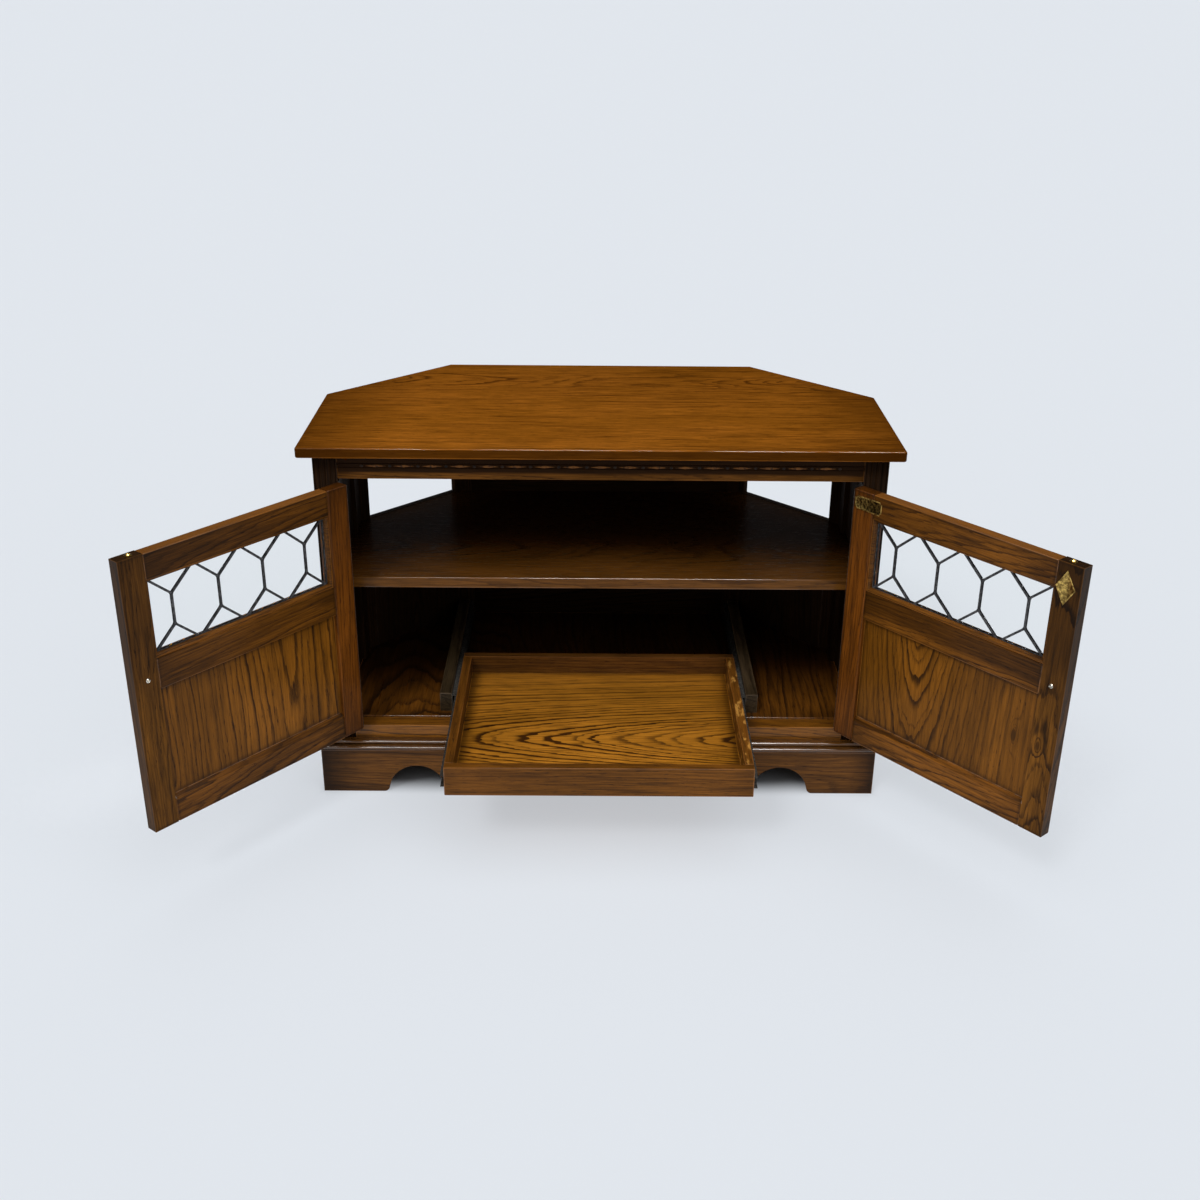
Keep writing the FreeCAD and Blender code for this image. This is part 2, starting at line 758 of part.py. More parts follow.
def lead_lattice(label, side):
    """Cames: a border, uprights and a zigzag above and below, trimmed to the opening and hollowed for the pane."""
    body = new_body(label)
    centre = (light_near + light_far) / 2
    middle = (light_bottom + light_top) / 2
    half_upright = dim("upright_length") / 2
    half_pitch = dim("lattice_pitch") / 2
    half_came = dim("came_width") / 2
    rise = dim("peak_rise")
    band = half_came * root(half_pitch * half_pitch + rise * rise) / half_pitch
    thickness = dim("came_thickness")
    border = dim("glazing_bead_width") + dim("came_border_show")
    sketch = new_sketch(body, "XZ_Plane", -came_back)
    light_frame(sketch, side, border)
    pad(body, sketch, thickness)
    reach = centre - light_near - border / 2
    outermost = half_pitch * (UPRIGHTS - 1)
    end_level = half_upright + rise / half_pitch * (reach - outermost)
    line = [(-reach, end_level)]
    for step in range(1 - UPRIGHTS, UPRIGHTS):
        at_peak = (step + UPRIGHTS) % 2 == 0
        line.append((half_pitch * step, half_upright + rise if at_peak else half_upright))
    line.append((reach, end_level))
    for way in (1, -1):
        upper = [((centre + across) * -side, middle + (up + band) * way) for across, up in line]
        lower = [((centre + across) * -side, middle + (up - band) * way) for across, up in reversed(line)]
        sketch = new_sketch(body, "XZ_Plane", -came_back)
        outline(sketch, upper + lower)
        pad(body, sketch, thickness)
    first = centre * -side - outermost
    sketch = new_sketch(body, "XZ_Plane", -came_back)
    rectangle(sketch, (first - half_came, first + half_came),
              (middle - half_upright - half_came, middle + half_upright + half_came))
    upright = pad(body, sketch, thickness)
    repeat(body, [upright], "X_Axis", dim("lattice_pitch") * (UPRIGHTS - 1), UPRIGHTS)
    sketch = new_sketch(body, "XZ_Plane", -lip_back)
    light_frame(sketch, side, -dim("overrun"))
    pocket(body, sketch, thickness)
    sketch = new_sketch(body, "XZ_Plane", -(lip_back + dim("came_face")))
    rim = dim("came_rim")
    rectangle(sketch, ((light_near + rim) * -side, (light_far - rim) * -side), (light_bottom + rim, light_top - rim))
    pocket(body, sketch, thickness - dim("came_face") * 2)
    return body


def glazing_bead(label, side):
    """Mitred wooden bead that holds the light, rounded towards the room."""
    body = new_body(label)
    width = dim("glazing_bead_width")
    front = came_back + dim("glazing_bead_depth")
    sketch = new_sketch(body, "XZ_Plane", -front)
    light_frame(sketch, side, width)
    pad(body, sketch, dim("glazing_bead_depth"))
    centre_x = (light_near + light_far) / 2 * -side
    reach = (light_far - light_near) / 2 - width / 2
    half_height = dim("light_height") / 2 - width / 2
    middle = (light_bottom + light_top) / 2
    round_edges(body, dim("glazing_bead_round"), lambda p: (
        near(p.y, front) and abs(p.x - centre_x.number) < reach.number
        and abs(p.z - middle.number) < half_height.number))
    return body


# Handle: plate with a pierced lug, and a drop that hangs from it by its fork
handle_along = free_edge - dim("handle_inset")
pivot_z = door_bottom + dim("handle_rise")
plate_front = outer_face - dim("plate_thickness")
pivot_y = plate_front - dim("pivot_reach")
half_lug = dim("lug_width") / 2
cheek_inner = half_lug + dim("fork_play")
cheek_outer = cheek_inner + dim("cheek_width")
half_fork = dim("fork_thickness") / 2


def handle_plate(label, side):
    centre = handle_along * -side
    body = new_body(label)
    sketch = new_sketch(body, "XZ_Plane", -outer_face)
    disc(sketch, centre, pivot_z - dim("plate_drop"), dim("plate_radius"))
    pad(body, sketch, dim("plate_thickness"))
    block(body, (centre - half_lug, centre + half_lug), (pivot_y - dim("lug_reach"), plate_front),
          (pivot_z - dim("lug_half_height"), pivot_z + dim("lug_half_height")))
    sketch = new_sketch(body, "YZ_Plane", centre + half_lug)
    disc(sketch, pivot_y, pivot_z, dim("pivot_radius") + dim("pin_fit"))
    pocket(body, sketch, dim("lug_width"))
    return body


def handle_drop(label, side):
    centre = handle_along * -side
    body = new_body(label)
    middle = (centre, pivot_y)
    shoulder = pivot_z - dim("neck_drop")
    foot = pivot_z - dim("drop_length")
    bar(body, middle, dim("drop_radius"), (foot, shoulder))
    bevel_edges(body, dim("drop_taper"), dim("drop_radius") - dim("neck_radius"), lambda p: near(p.z, shoulder))
    bevel_edges(body, dim("drop_tip_bevel"), dim("drop_tip_bevel"), lambda p: near(p.z, foot))
    bar(body, middle, dim("neck_radius"), (shoulder, pivot_z - dim("fork_slot_drop")))
    sketch = new_sketch(body, "XZ_Plane", -(pivot_y + half_fork), (centre, pivot_z))
    outline(sketch, [
        (-cheek_outer, dim("fork_top")),
        (-cheek_outer, -dim("fork_drop")),
        (cheek_outer, -dim("fork_drop")),
        (cheek_outer, dim("fork_top")),
        (cheek_inner, dim("fork_top")),
        (cheek_inner, -dim("fork_slot_drop")),
        (-cheek_inner, -dim("fork_slot_drop")),
        (-cheek_inner, dim("fork_top")),
    ])
    pad(body, sketch, dim("fork_thickness"))
    sketch = new_sketch(body, "YZ_Plane", centre - cheek_outer)
    disc(sketch, pivot_y, pivot_z, dim("pivot_radius"))
    pad(body, sketch, cheek_outer * 2)
    return body


def catch_plunger(label, side):
    """Spring plunger with a bevelled nose that stands out of the door's top edge."""
    centre = (free_edge - dim("catch_inset")) * -side
    body = new_body(label)
    nose = door_top + dim("catch_stand")
    bar(body, (centre, (outer_face + inner_face) / 2), dim("catch_radius"), (nose - dim("catch_length"), nose))
    bevel_edges(body, dim("catch_nose_bevel"), dim("catch_nose_bevel"), lambda p: near(p.z, nose))
    return body


def span(side, near_edge, far_edge):
    return (near_edge * -side, far_edge * -side)


# Doors, drawn shut with the hinge pin at the origin and then turned open
for side, word in sides:
    inside = span(side, light_near, light_far)
    lip_inside = span(side, light_near + lip, light_far - lip)
    hinge_stile = plank(word + "_hinge_stile", span(side, hinge_edge, light_near), frame_depth,
                        (door_bottom, door_top))
    block(hinge_stile, span(side, light_near, light_near + lip), lip_depth, (light_bottom, light_top))
    free_stile = plank(word + "_free_stile", span(side, light_far, free_edge), frame_depth,
                       (door_bottom, door_top))
    block(free_stile, span(side, light_far - lip, light_far), lip_depth, (light_bottom, light_top))
    sketch = new_sketch(free_stile, "XY_Plane", door_top)
    disc(sketch, (free_edge - dim("catch_inset")) * -side, (outer_face + inner_face) / 2,
         dim("catch_radius") + dim("catch_fit"))
    pocket(free_stile, sketch, dim("catch_bore_depth"))
    top_rail = plank(word + "_top_rail", inside, frame_depth, (light_top, door_top))
    block(top_rail, lip_inside, lip_depth, (light_top - lip, light_top))
    mid_rail = plank(word + "_mid_rail", inside, frame_depth, (mid_rail_bottom, light_bottom))
    block(mid_rail, lip_inside, lip_depth, (light_bottom, light_bottom + lip))
    bottom_rail = new_body(word + "_bottom_rail")
    middle_x = (light_near + light_far) / 2 * -side
    sketch = new_sketch(bottom_rail, "YZ_Plane", middle_x - (light_far - light_near) / 2)
    outline(sketch, [
        (outer_face, door_bottom),
        (inner_face, door_bottom),
        (inner_face, bottom_rail_top - dim("bottom_bevel")),
        (inner_face - dim("bottom_bevel"), bottom_rail_top),
        (outer_face, bottom_rail_top),
    ])
    pad(bottom_rail, sketch, light_far - light_near)
    rim = dim("came_rim")
    door = [
        hinge_stile, free_stile, top_rail, mid_rail, bottom_rail,
        plank(word + "_door_panel", inside, (panel_face, panel_face + dim("panel_thickness")),
              (bottom_rail_top, mid_rail_bottom)),
        plank(word + "_glass", span(side, light_near + rim, light_far - rim),
              (lip_back + dim("came_face"), came_back - dim("came_face")),
              (light_bottom + rim, light_top - rim)),
        lead_lattice(word + "_lead_lattice", side),
        glazing_bead(word + "_glazing_bead", side),
        hinge_leaf(word + "_door_leaf", side, -hinge_edge, DOOR_KNUCKLES, 0, True),
        handle_plate(word + "_handle_plate", side),
        handle_drop(word + "_handle_drop", side),
        catch_plunger(word + "_catch_plunger", side),
    ]
    for body in door:
        place(body, pin_x * side, pin_y, dim("door_angle") * side)
    post_leaf = hinge_leaf(word + "_post_leaf", side, dim("pin_gap") - dim("leaf_thickness"),
                           POST_KNUCKLES, 1, False)
    place(post_leaf, pin_x * side, pin_y)

# Rebuild, check and write the pieces
doc.recompute()
for thing in doc.Objects:
    if "Invalid" in thing.State or "Error" in thing.State:
        raise RuntimeError("%s failed: %s" % (thing.Label, thing.State))
for feature in cuts:
    if feature.Shape.Volume > feature.BaseFeature.Shape.Volume * UNCUT_SHARE:
        raise RuntimeError("%s cuts nothing" % feature.Label)
for body in pieces:
    if body.Shape.isNull() or not body.Shape.isValid() or len(body.Shape.Solids) != 1:
        raise RuntimeError("%s is not one valid solid" % body.Label)
os.makedirs("parts", exist_ok=True)
for body in pieces:
    body.Shape.exportStep("parts/%s.step" % body.Label)
print("%d pieces written" % len(pieces))
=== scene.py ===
"""Finishes, carving and small fittings of a low oak corner cabinet, with its studio stage."""

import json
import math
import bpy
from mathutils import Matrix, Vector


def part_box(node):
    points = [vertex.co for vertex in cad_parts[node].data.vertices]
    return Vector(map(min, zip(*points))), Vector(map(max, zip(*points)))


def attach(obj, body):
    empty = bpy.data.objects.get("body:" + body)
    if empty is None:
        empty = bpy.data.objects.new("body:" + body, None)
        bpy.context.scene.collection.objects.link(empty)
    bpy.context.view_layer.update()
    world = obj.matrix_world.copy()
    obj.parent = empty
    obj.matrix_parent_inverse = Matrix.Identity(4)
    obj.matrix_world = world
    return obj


bl_info = {
    "name": "Corner Cabinet Finishes",
    "version": (1, 0, 0),
    "blender": (4, 5, 0),
    "location": "View3D > Sidebar > Cabinet",
    "description": "Gives the oak corner cabinet its finishes, carving and small fittings",
    "category": "Object",
}

import bmesh
import bpy
from bpy.props import FloatProperty, FloatVectorProperty, IntProperty, PointerProperty
from mathutils import Matrix, Vector

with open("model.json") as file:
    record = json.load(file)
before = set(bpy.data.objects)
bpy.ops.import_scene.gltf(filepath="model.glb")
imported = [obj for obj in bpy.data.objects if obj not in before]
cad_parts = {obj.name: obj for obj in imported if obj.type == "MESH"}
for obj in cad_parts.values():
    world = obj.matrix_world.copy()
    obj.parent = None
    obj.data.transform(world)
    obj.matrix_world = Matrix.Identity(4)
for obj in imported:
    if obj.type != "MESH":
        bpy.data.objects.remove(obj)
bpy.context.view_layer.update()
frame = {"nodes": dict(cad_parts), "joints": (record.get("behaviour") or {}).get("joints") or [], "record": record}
JOINTS = {joint["name"]: joint for joint in frame["joints"]}
SIDES = (("left", -1), ("right", 1))


# Colour and size fields

def tone(name, description, value):
    """One wood, metal or glass colour that a user may change."""
    return FloatVectorProperty(name=name, description=description, default=value, subtype="COLOR",
                               min=0.0, max=1.0)


def length(name, description, value):
    """One length in metres that a user may change."""
    return FloatProperty(name=name, description=description, default=value, subtype="DISTANCE",
                         unit="LENGTH", min=0.0)


def share(name, description, value):
    """One share between none and all."""
    return FloatProperty(name=name, description=description, default=value, subtype="FACTOR",
                         min=0.0, max=1.0)


def plain_value(name, description, value, unit="NONE"):
    """One plain number, or a place or turn with its unit."""
    return FloatProperty(name=name, description=description, default=value, unit=unit)


class CabinetOakSettings(bpy.types.PropertyGroup):
    """Tones and figure of the stained oak."""

    top_ground: tone("Top ground", "Honey brown of the top board between its growth rings",
                     (0.264, 0.087, 0.0078))
    top_figure: tone("Top figure", "Darker rings of the top board", (0.100, 0.030, 0.003))
    frame_ground: tone("Frame ground", "Brown of the door frames", (0.172, 0.060, 0.0065))
    frame_figure: tone("Frame figure", "Dark rings of the door frames", (0.026, 0.010, 0.002))
    hinge_ground: tone("Hinge stile ground", "Reddish brown of the stiles at the hinges",
                       (0.122, 0.036, 0.0035))
    hinge_figure: tone("Hinge stile figure", "Dark rings of the stiles at the hinges",
                       (0.026, 0.009, 0.0015))
    stile_ground: tone("Free stile ground", "Deeper brown of the stiles that meet",
                       (0.190, 0.072, 0.009))
    stile_figure: tone("Free stile figure", "Dark swirls of the stiles that meet",
                       (0.024, 0.010, 0.003))
    panel_ground: tone("Panel ground", "Golden brown of the door panels", (0.210, 0.075, 0.0067))
    panel_figure: tone("Panel figure", "Dark rings of the door panels", (0.028, 0.011, 0.002))
    tray_ground: tone("Tray ground", "Golden tone of the tray bottom", (0.405, 0.158, 0.014))
    tray_figure: tone("Tray figure", "Dark rings of the tray bottom", (0.050, 0.016, 0.002))
    rim_ground: tone("Tray rim ground", "Brown of the tray walls", (0.160, 0.057, 0.007))
    rim_figure: tone("Tray rim figure", "Rings of the tray walls", (0.050, 0.018, 0.003))
    shelf_ground: tone("Shelf ground", "Brown of the shelf", (0.110, 0.042, 0.007))
    shelf_figure: tone("Shelf figure", "Rings of the shelf", (0.040, 0.015, 0.003))
    floor_ground: tone("Floor board ground", "Brown of the floor board", (0.160, 0.056, 0.007))
    floor_figure: tone("Floor board figure", "Bold dark figure of the floor board",
                       (0.020, 0.007, 0.002))
    runner_ground: tone("Runner ground", "Grey brown of the tray's runners", (0.062, 0.040, 0.021))
    runner_figure: tone("Runner figure", "Rings of the tray's runners", (0.012, 0.007, 0.003))
    # On the boards and posts inside the carcase this near black tone stands in partly for painted shade; on the
    # front posts it is their own dark stain
    dark_ground: tone("Carcase ground", "Deep brown of the posts and back",
                      (0.020, 0.0085, 0.0030))
    dark_figure: tone("Carcase figure", "Near black rings of the posts and back",
                      (0.005, 0.003, 0.002))
    base_ground: tone("Plinth ground", "Brown of the plinth and moulding", (0.106, 0.040, 0.007))
    base_figure: tone("Plinth figure", "Rings of the plinth and moulding", (0.030, 0.012, 0.004))
    pore: tone("Pore", "Stain gathered in the pores", (0.014, 0.006, 0.002))
    fleck: tone("Ray fleck", "Pale golden ray flecks", (0.62, 0.30, 0.06))
    ring_pitch: length("Ring pitch", "Width of one year's growth", 0.0052)
    pore_length: length("Pore length", "Length of an open pore along the grain", 0.009)
    pore_width: length("Pore width", "Width of an open pore", 0.0005)
    # The lighter line along an edge is partly wear and partly a painted highlight
    arris_width: length("Arris width", "Width of the worn, lighter line along an edge", 0.0022)
    lacquer: share("Lacquer", "Strength of the clear coat over the oak", 0.04)
    lacquer_roughness: share("Lacquer roughness", "Roughness of the clear coat", 0.16)


class CabinetMetalSettings(bpy.types.PropertyGroup):
    """Tones of glass and metal."""

    lead: tone("Lead", "Dull grey of the cames", (0.030, 0.030, 0.032))
    lead_worn: tone("Worn lead", "Paler rubbed places on the cames", (0.10, 0.10, 0.105))
    solder: tone("Solder", "Duller grey of the soldered joints", (0.075, 0.075, 0.08))
    glass: tone("Glass", "Clear pane", (0.985, 0.995, 0.99))
    steel: tone("Steel", "Dark hinge and slide steel", (0.030, 0.027, 0.024))
    steel_worn: tone("Worn steel", "Bright places where steel rubs", (0.10, 0.095, 0.085))
    nickel: tone("Nickel", "Pale screw heads", (0.90, 0.86, 0.74))
    nickel_dull: tone("Dull nickel", "Tarnish on the screw heads", (0.40, 0.37, 0.32))
    brass: tone("Brass", "Lacquered brass", (0.74, 0.50, 0.14))
    brass_aged: tone("Aged brass", "Darkened brass in hollows", (0.19, 0.12, 0.035))


class CabinetFittingSettings(bpy.types.PropertyGroup):
    """Sizes of the carving, screws and plates."""

    boss_pitch: length("Boss pitch", "Distance between carved bosses in the frieze channel", 0.0466)
    boss_count: IntProperty(name="Bosses", description="Number of carved bosses", min=1, default=18)
    boss_radius: length("Boss radius", "Radius of a carved boss", 0.0028)
    boss_stand: length("Boss stand", "Height of a boss above the channel floor", 0.0014)
    channel_height: length("Channel height", "Level of the channel's middle above the floor", 0.616)
    channel_floor: length("Channel floor", "Depth of the channel's floor behind the carcase front",
                          0.0031)
    dart_length: length("Dart length", "Length of the raised dart between two bosses", 0.034)
    dart_height: length("Dart height", "Height of the raised dart", 0.0044)
    dart_stand: length("Dart stand", "How far a dart stands out of the channel", 0.0013)
    screw_radius: length("Screw radius", "Radius of a hinge screw's head", 0.0026)
    screw_stand: length("Screw stand", "Height of a hinge screw's head", 0.00015)
    screw_count: IntProperty(name="Screws", description="Number of screws in each hinge leaf",
                             min=1, default=5)
    leaf_inset: length("Leaf inset", "Distance from the pin to the line of screws", 0.0125)
    fixing_radius: length("Fixing radius", "Radius of the screw that holds a handle", 0.0040)
    fixing_stand: length("Fixing stand", "Height of that screw's head", 0.0022)
    slot_width: length("Slot width", "Width of a screw's slot", 0.0009)
    handle_reach: length("Handle reach", "Distance from the pin to the handle's screw", 0.410)
    handle_height: length("Handle height", "Level of the handle's screw above the floor", 0.389)
    inner_face: length("Inner face", "Distance from the pin to the door's inner face", 0.023)
    plate_length: length("Plate length", "Length of the bare scalloped plate", 0.056)
    plate_height: length("Plate height", "Height of the bare scalloped plate", 0.024)
    plate_reach: length("Plate reach", "Distance from the pin to the plate's middle", 0.034)
    plate_level: length("Plate level", "Level of the plate's middle above the floor", 0.569)
    plate_notch: length("Plate notch", "Radius of the plate's hollow corners", 0.004)
    plate_thickness: length("Plate thickness", "Thickness of the bare plates", 0.0007)
    border_width: length("Border width", "Width of the raised edge of a plate", 0.0024)
    lozenge_width: length("Lozenge width", "Width of the bare lozenge plate", 0.034)
    lozenge_height: length("Lozenge height", "Height of the bare lozenge plate", 0.056)
    lozenge_reach: length("Lozenge reach", "Distance from the pin to the lozenge's middle", 0.408)
    lozenge_level: length("Lozenge level", "Level of the lozenge's middle above the floor", 0.551)
    collar_radius: length("Collar radius", "Radius of the catch's collar", 0.0062)
    collar_bore: length("Collar bore", "Radius of the collar's hole", 0.0042)
    collar_stand: length("Collar stand", "Thickness of the catch's collar", 0.0006)
    catch_reach: length("Catch reach", "Distance from the pin to the catch", 0.408)
    catch_depth: length("Catch depth", "Distance from the pin to the catch across the door", 0.0125)
    light_reach: length("Light reach", "Distance from the pin to the middle of the light", 0.21755)
    light_level: length("Light level", "Level of the middle of the light above the floor", 0.48325)
    came_pitch: length("Came pitch", "Distance between the lattice's uprights", 0.0849)
    came_upright: length("Came upright", "Length of an upright", 0.0508)
    came_front: length("Came front", "Distance from the pin to the cames' outer face", 0.0094)
    came_back: length("Came back", "Distance from the pin to the cames' inner face", 0.0130)
    solder_radius: length("Solder radius", "Radius of a soldered joint", 0.0029)
    solder_stand: length("Solder stand", "Height of a soldered joint", 0.0005)


class CabinetStageSettings(bpy.types.PropertyGroup):
    """Floor, lights and camera."""

    floor_tone: tone("Floor", "Pale blue grey studio floor", (0.300, 0.316, 0.336))
    floor_glow: tone("Floor glow", "Light that the floor gives by itself", (0.468, 0.492, 0.524))
    horizon_tone: tone("Horizon", "Pale surround beyond the floor's edge", (0.753, 0.791, 0.839))
    ceiling_tone: tone("Ceiling", "Dim surround overhead", (0.035, 0.036, 0.038))
    horizon_share: share("Horizon height", "Height up to which the surround stays pale", 0.03)
    light_strength: plain_value("Light strength", "Strength that scales all suns", 1.0)
    strip_power: plain_value("Strip power", "Power in watts of the strip that glints", 220.0)
    floor_radius: length("Floor radius", "Radius of the floor disc", 90.0)
    camera_x: plain_value("Camera X", "Camera's place across", -0.012697, "LENGTH")
    camera_y: plain_value("Camera Y", "Camera's place to the back", -2.216246, "LENGTH")
    camera_z: plain_value("Camera Z", "Camera's height", 1.397318, "LENGTH")
    camera_yaw: plain_value("Yaw", "Turn to the right", 0.0058524, "ROTATION")
    camera_pitch: plain_value("Pitch", "Tilt down", 0.4319298, "ROTATION")
    camera_roll: plain_value("Roll", "Turn about the view line", -0.0087444, "ROTATION")
    camera_lens: plain_value("Lens", "Focal length in millimetres", 42.46)


# Shader helpers

class Shader:
    """Builds the node tree of one material or surround from plain calls."""

    def __init__(self, owner):
        self.owner = owner
        owner.use_nodes = True
        self.tree = owner.node_tree
        self.tree.nodes.clear()

    def node(self, kind, sockets, **settings):
        """Adds a node, sets its options, and fills its sockets with links or plain values."""
        made = self.tree.nodes.new("ShaderNode" + kind)
        for key, value in settings.items():
            setattr(made, key, value)
        for key, value in sockets.items():
            if isinstance(value, bpy.types.NodeSocket):
                self.tree.links.new(value, made.inputs[key])
            else:
                made.inputs[key].default_value = value
        return made

    def sum(self, operation, *values, clamp=False):
        """One arithmetic step on numbers or sockets."""
        made = self.node("Math", dict(enumerate(values)), operation=operation, use_clamp=clamp)
        return made.outputs[0]

    def times(self, first, second, clamp=False):
        """One value times another."""
        return self.sum("MULTIPLY", first, second, clamp=clamp)

    def plus(self, first, second):
        """One value and another together."""
        return self.sum("ADD", first, second)

    def minus(self, first, second):
        """One value less another."""
        return self.sum("SUBTRACT", first, second)

    def gain(self, value, factor, offset):
        """A value times a factor, plus an offset."""
        return self.sum("MULTIPLY_ADD", value, factor, offset)

    def spot(self):
        """Places on the piece as it was made."""
        return self.node("TexCoord", {}).outputs["Object"]

    def noise(self, place, scale, detail=3.0, roughness=0.55):
        """Soft random values from 0 to 1."""
        sockets = {"Vector": place, "Scale": scale, "Detail": detail, "Roughness": roughness}
        return self.node("TexNoise", sockets).outputs[0]

    def stretch(self, place, scales, shift):
        """A copy of a place, scaled along each axis and moved."""
        sockets = {"Vector": place, "Scale": scales, "Location": shift}
        return self.node("Mapping", sockets, vector_type="POINT").outputs[0]

    def ramp(self, value, low, high):
        """A smooth rise from 0 to 1 between two values."""
        sockets = {"Value": value, "From Min": low, "From Max": high, "To Min": 0.0, "To Max": 1.0}
        made = self.node("MapRange", sockets, interpolation_type="SMOOTHSTEP", clamp=True)
        return made.outputs[0]

    def spread(self, value, low, high):
        """A 0 to 1 value laid out between two others."""
        sockets = {"Value": value, "From Min": 0.0, "From Max": 1.0, "To Min": low, "To Max": high}
        return self.node("MapRange", sockets, clamp=True).outputs[0]

    def blend(self, amount, first, second, way="MIX"):
        """Mixes two colours."""
        sockets = {0: amount, 6: with_alpha(first), 7: with_alpha(second)}
        return self.node("Mix", sockets, data_type="RGBA", blend_type=way).outputs[2]

    def stain(self, colour, field, strength, tone):
        """Lays a tone over a colour as far as a field reaches."""
        return self.blend(self.times(field, strength), colour, tone)

    def finish(self, sockets, bump=None, bump_distance=0.0002, bump_strength=0.6):
        """Ends the tree in one surface shader."""
        if bump is not None:
            relief = {"Height": bump, "Distance": bump_distance, "Strength": bump_strength}
            sockets["Normal"] = self.node("Bump", relief).outputs[0]
        surface = self.node("BsdfPrincipled", sockets).outputs[0]
        self.node("OutputMaterial", {"Surface": surface})
        return self.owner


def with_alpha(colour):
    """A plain colour with its alpha, or a socket as it is."""
    return colour if isinstance(colour, bpy.types.NodeSocket) else (*colour, 1.0)


def member_box(obj, turn):
    """Lowest and highest corners of a piece in its own turned axes."""
    places = [turn @ vertex.co for vertex in obj.data.vertices]
    low = Vector([min(place[axis] for place in places) for axis in range(3)])
    high = Vector([max(place[axis] for place in places) for axis in range(3)])
    return low, high


def door_turn(side):
    """Matrix from the row frame to the shut door's own frame, with the hinge pin as its origin."""
    joint = JOINTS["right_door_hinge" if side > 0 else "left_door_hinge"]
    angle = -math.radians(joint["range_deg"][0]) * side
    pin = Vector(joint["pos_m"])
    pin.z = 0.0
    return Matrix.Rotation(-angle, 4, "Z") @ Matrix.Translation(-pin)


def diagonal_turn(side):
    """Matrix that lays a board of the canted corner square to the axes."""
    return Matrix.Rotation(math.radians(45.0) * side, 4, "Z")


SQUARE = Matrix.Identity(4)
# How far a fitting is let into its face, and the door's hinge leaf lies from its pin, in metres
SINK = 0.0003
DOOR_LEAF_FACE = 0.0008
# Depth of the oak's grain and of the rubbed places on metal, and the clear coat's bending of light
GRAIN_RELIEF = 0.00012
METAL_RELIEF = 0.00008
COAT_IOR = 1.6
# How strongly open pores, streaks and a knot's heart show in the oak
PORE_STRENGTH = 0.75
STREAK_STRENGTH = 0.75
KNOT_STRENGTH = 0.65
# Darkest tone as a share of a wood's figure, for knots, dark ends and painted shade, and gain and lift from its
# ground to a lighter arris that is partly wear and partly a painted highlight
DEEP_SHARE = 0.40
WEAR_AND_HIGHLIGHT_GAIN = 1.8
WEAR_AND_HIGHLIGHT_LIFT = 0.008
# Depths where the painted shade on a narrow side begins and ends, and where the lighter top edge ends and begins,
# in metres
SHADED_SIDE_BAND = (0.0005, 0.0035)
CROWN_BAND = (0.0025, 0.0008)
# How far the years' widths wander, and how slowly
YEAR_WANDER = 1.8
YEAR_WANDER_PACE = 0.37
# Arrises sharper than this are softened, and edges sharper than this stay crisp, in degrees
ARRIS_ANGLE = 38.0
CRISP_ANGLE = 40.0
# How far a dome's side leans in towards its top, in degrees
DOME_LEAN = 84.0
# Old, dull stain that gives almost nothing back
DULL = {"shine": 0.03, "coat": None}

# Corners of the floor disc, and how far outside the plinth its own light begins and is whole
FLOOR_SEGMENTS = 96
GLOW_BAND = (-0.045, 0.015)
# The surround is dim above this many times the horizon's height
HORIZON_SPREAD = 3.5
# Broad suns: name, where they shine from, spread in degrees, strength, and if they show in gloss
SUNS = (
    ("key_light", (-0.6, -1.0, 1.25), 14.0, 0.80, True),
    ("left_light", (-0.9, -1.0, 0.8), 60.0, 0.50, True),
    ("right_light", (0.9, -1.0, 0.9), 60.0, 0.70, True),
    ("overhead_light", (0.0, -0.30, 1.0), 80.0, 1.35, False),
    ("back_light", (0.2, 1.0, 1.9), 50.0, 0.40, False),
)
# The strip light's width and depth, its place and the point that it faces, in metres
STRIP_SIZE = (2.2, 0.8)
STRIP_PLACE = Vector((0.35, -1.5, 3.1))
STRIP_TARGET = Vector((0.1, 0.0, 0.4))

# Ways a board is cut from the tree. Heart is how far the tree's middle lies across the face and
# below it. Cone leans the rings along the board into chevrons as wide as the span. Bend, sway and
# step bend the rings slowly, softly and in short jags. Pitch scales the years' width, and fade is
# what is left of the rings far from the heart.
STRAIGHT = {"heart": (0.170, 0.045), "cone": 0.05, "span": 0.08, "bend": 0.010, "sway": 0.0022,
            "step": 0.0012, "pitch": 0.9, "fade": 0.75}
GENTLE = {"heart": (0.075, 0.040), "cone": 0.10, "span": 0.06, "bend": 0.018, "sway": 0.0035,
          "step": 0.0016, "pitch": 1.1, "fade": 0.6}
CATHEDRAL = {"heart": (0.004, 0.016), "cone": 0.16, "span": 0.05, "bend": 0.026, "sway": 0.0055,
             "step": 0.0028, "pitch": 1.5, "fade": 0.6}


# Noises of the grain: waves in a metre across, through and along it, then detail and roughness
GRAIN_NOISES = {
    "bend": ((6.0, 6.0, 1.6), 2.0, 0.55),
    "sway": ((38.0, 38.0, 9.0), 3.0, 0.55),
    "step": ((150.0, 150.0, 11.0), 2.5, 0.65),
    "fibre": ((520.0, 520.0, 20.0), 4.0, 0.65),
    "streak": ((130.0, 130.0, 8.0), 3.0, 0.6),
    "cloud": ((7.0, 7.0, 2.6), 3.0, 0.55),
    "fleck": ((150.0, 110.0, 34.0), 2.0, 0.5),
}


def grain_noise(shader, place, name, shift):
    """One of the grain's noises, moved so that no two members look alike."""
    scales, detail, roughness = GRAIN_NOISES[name]
    return shader.noise(shader.stretch(place["ordered"], scales, shift), 1.0, detail, roughness)


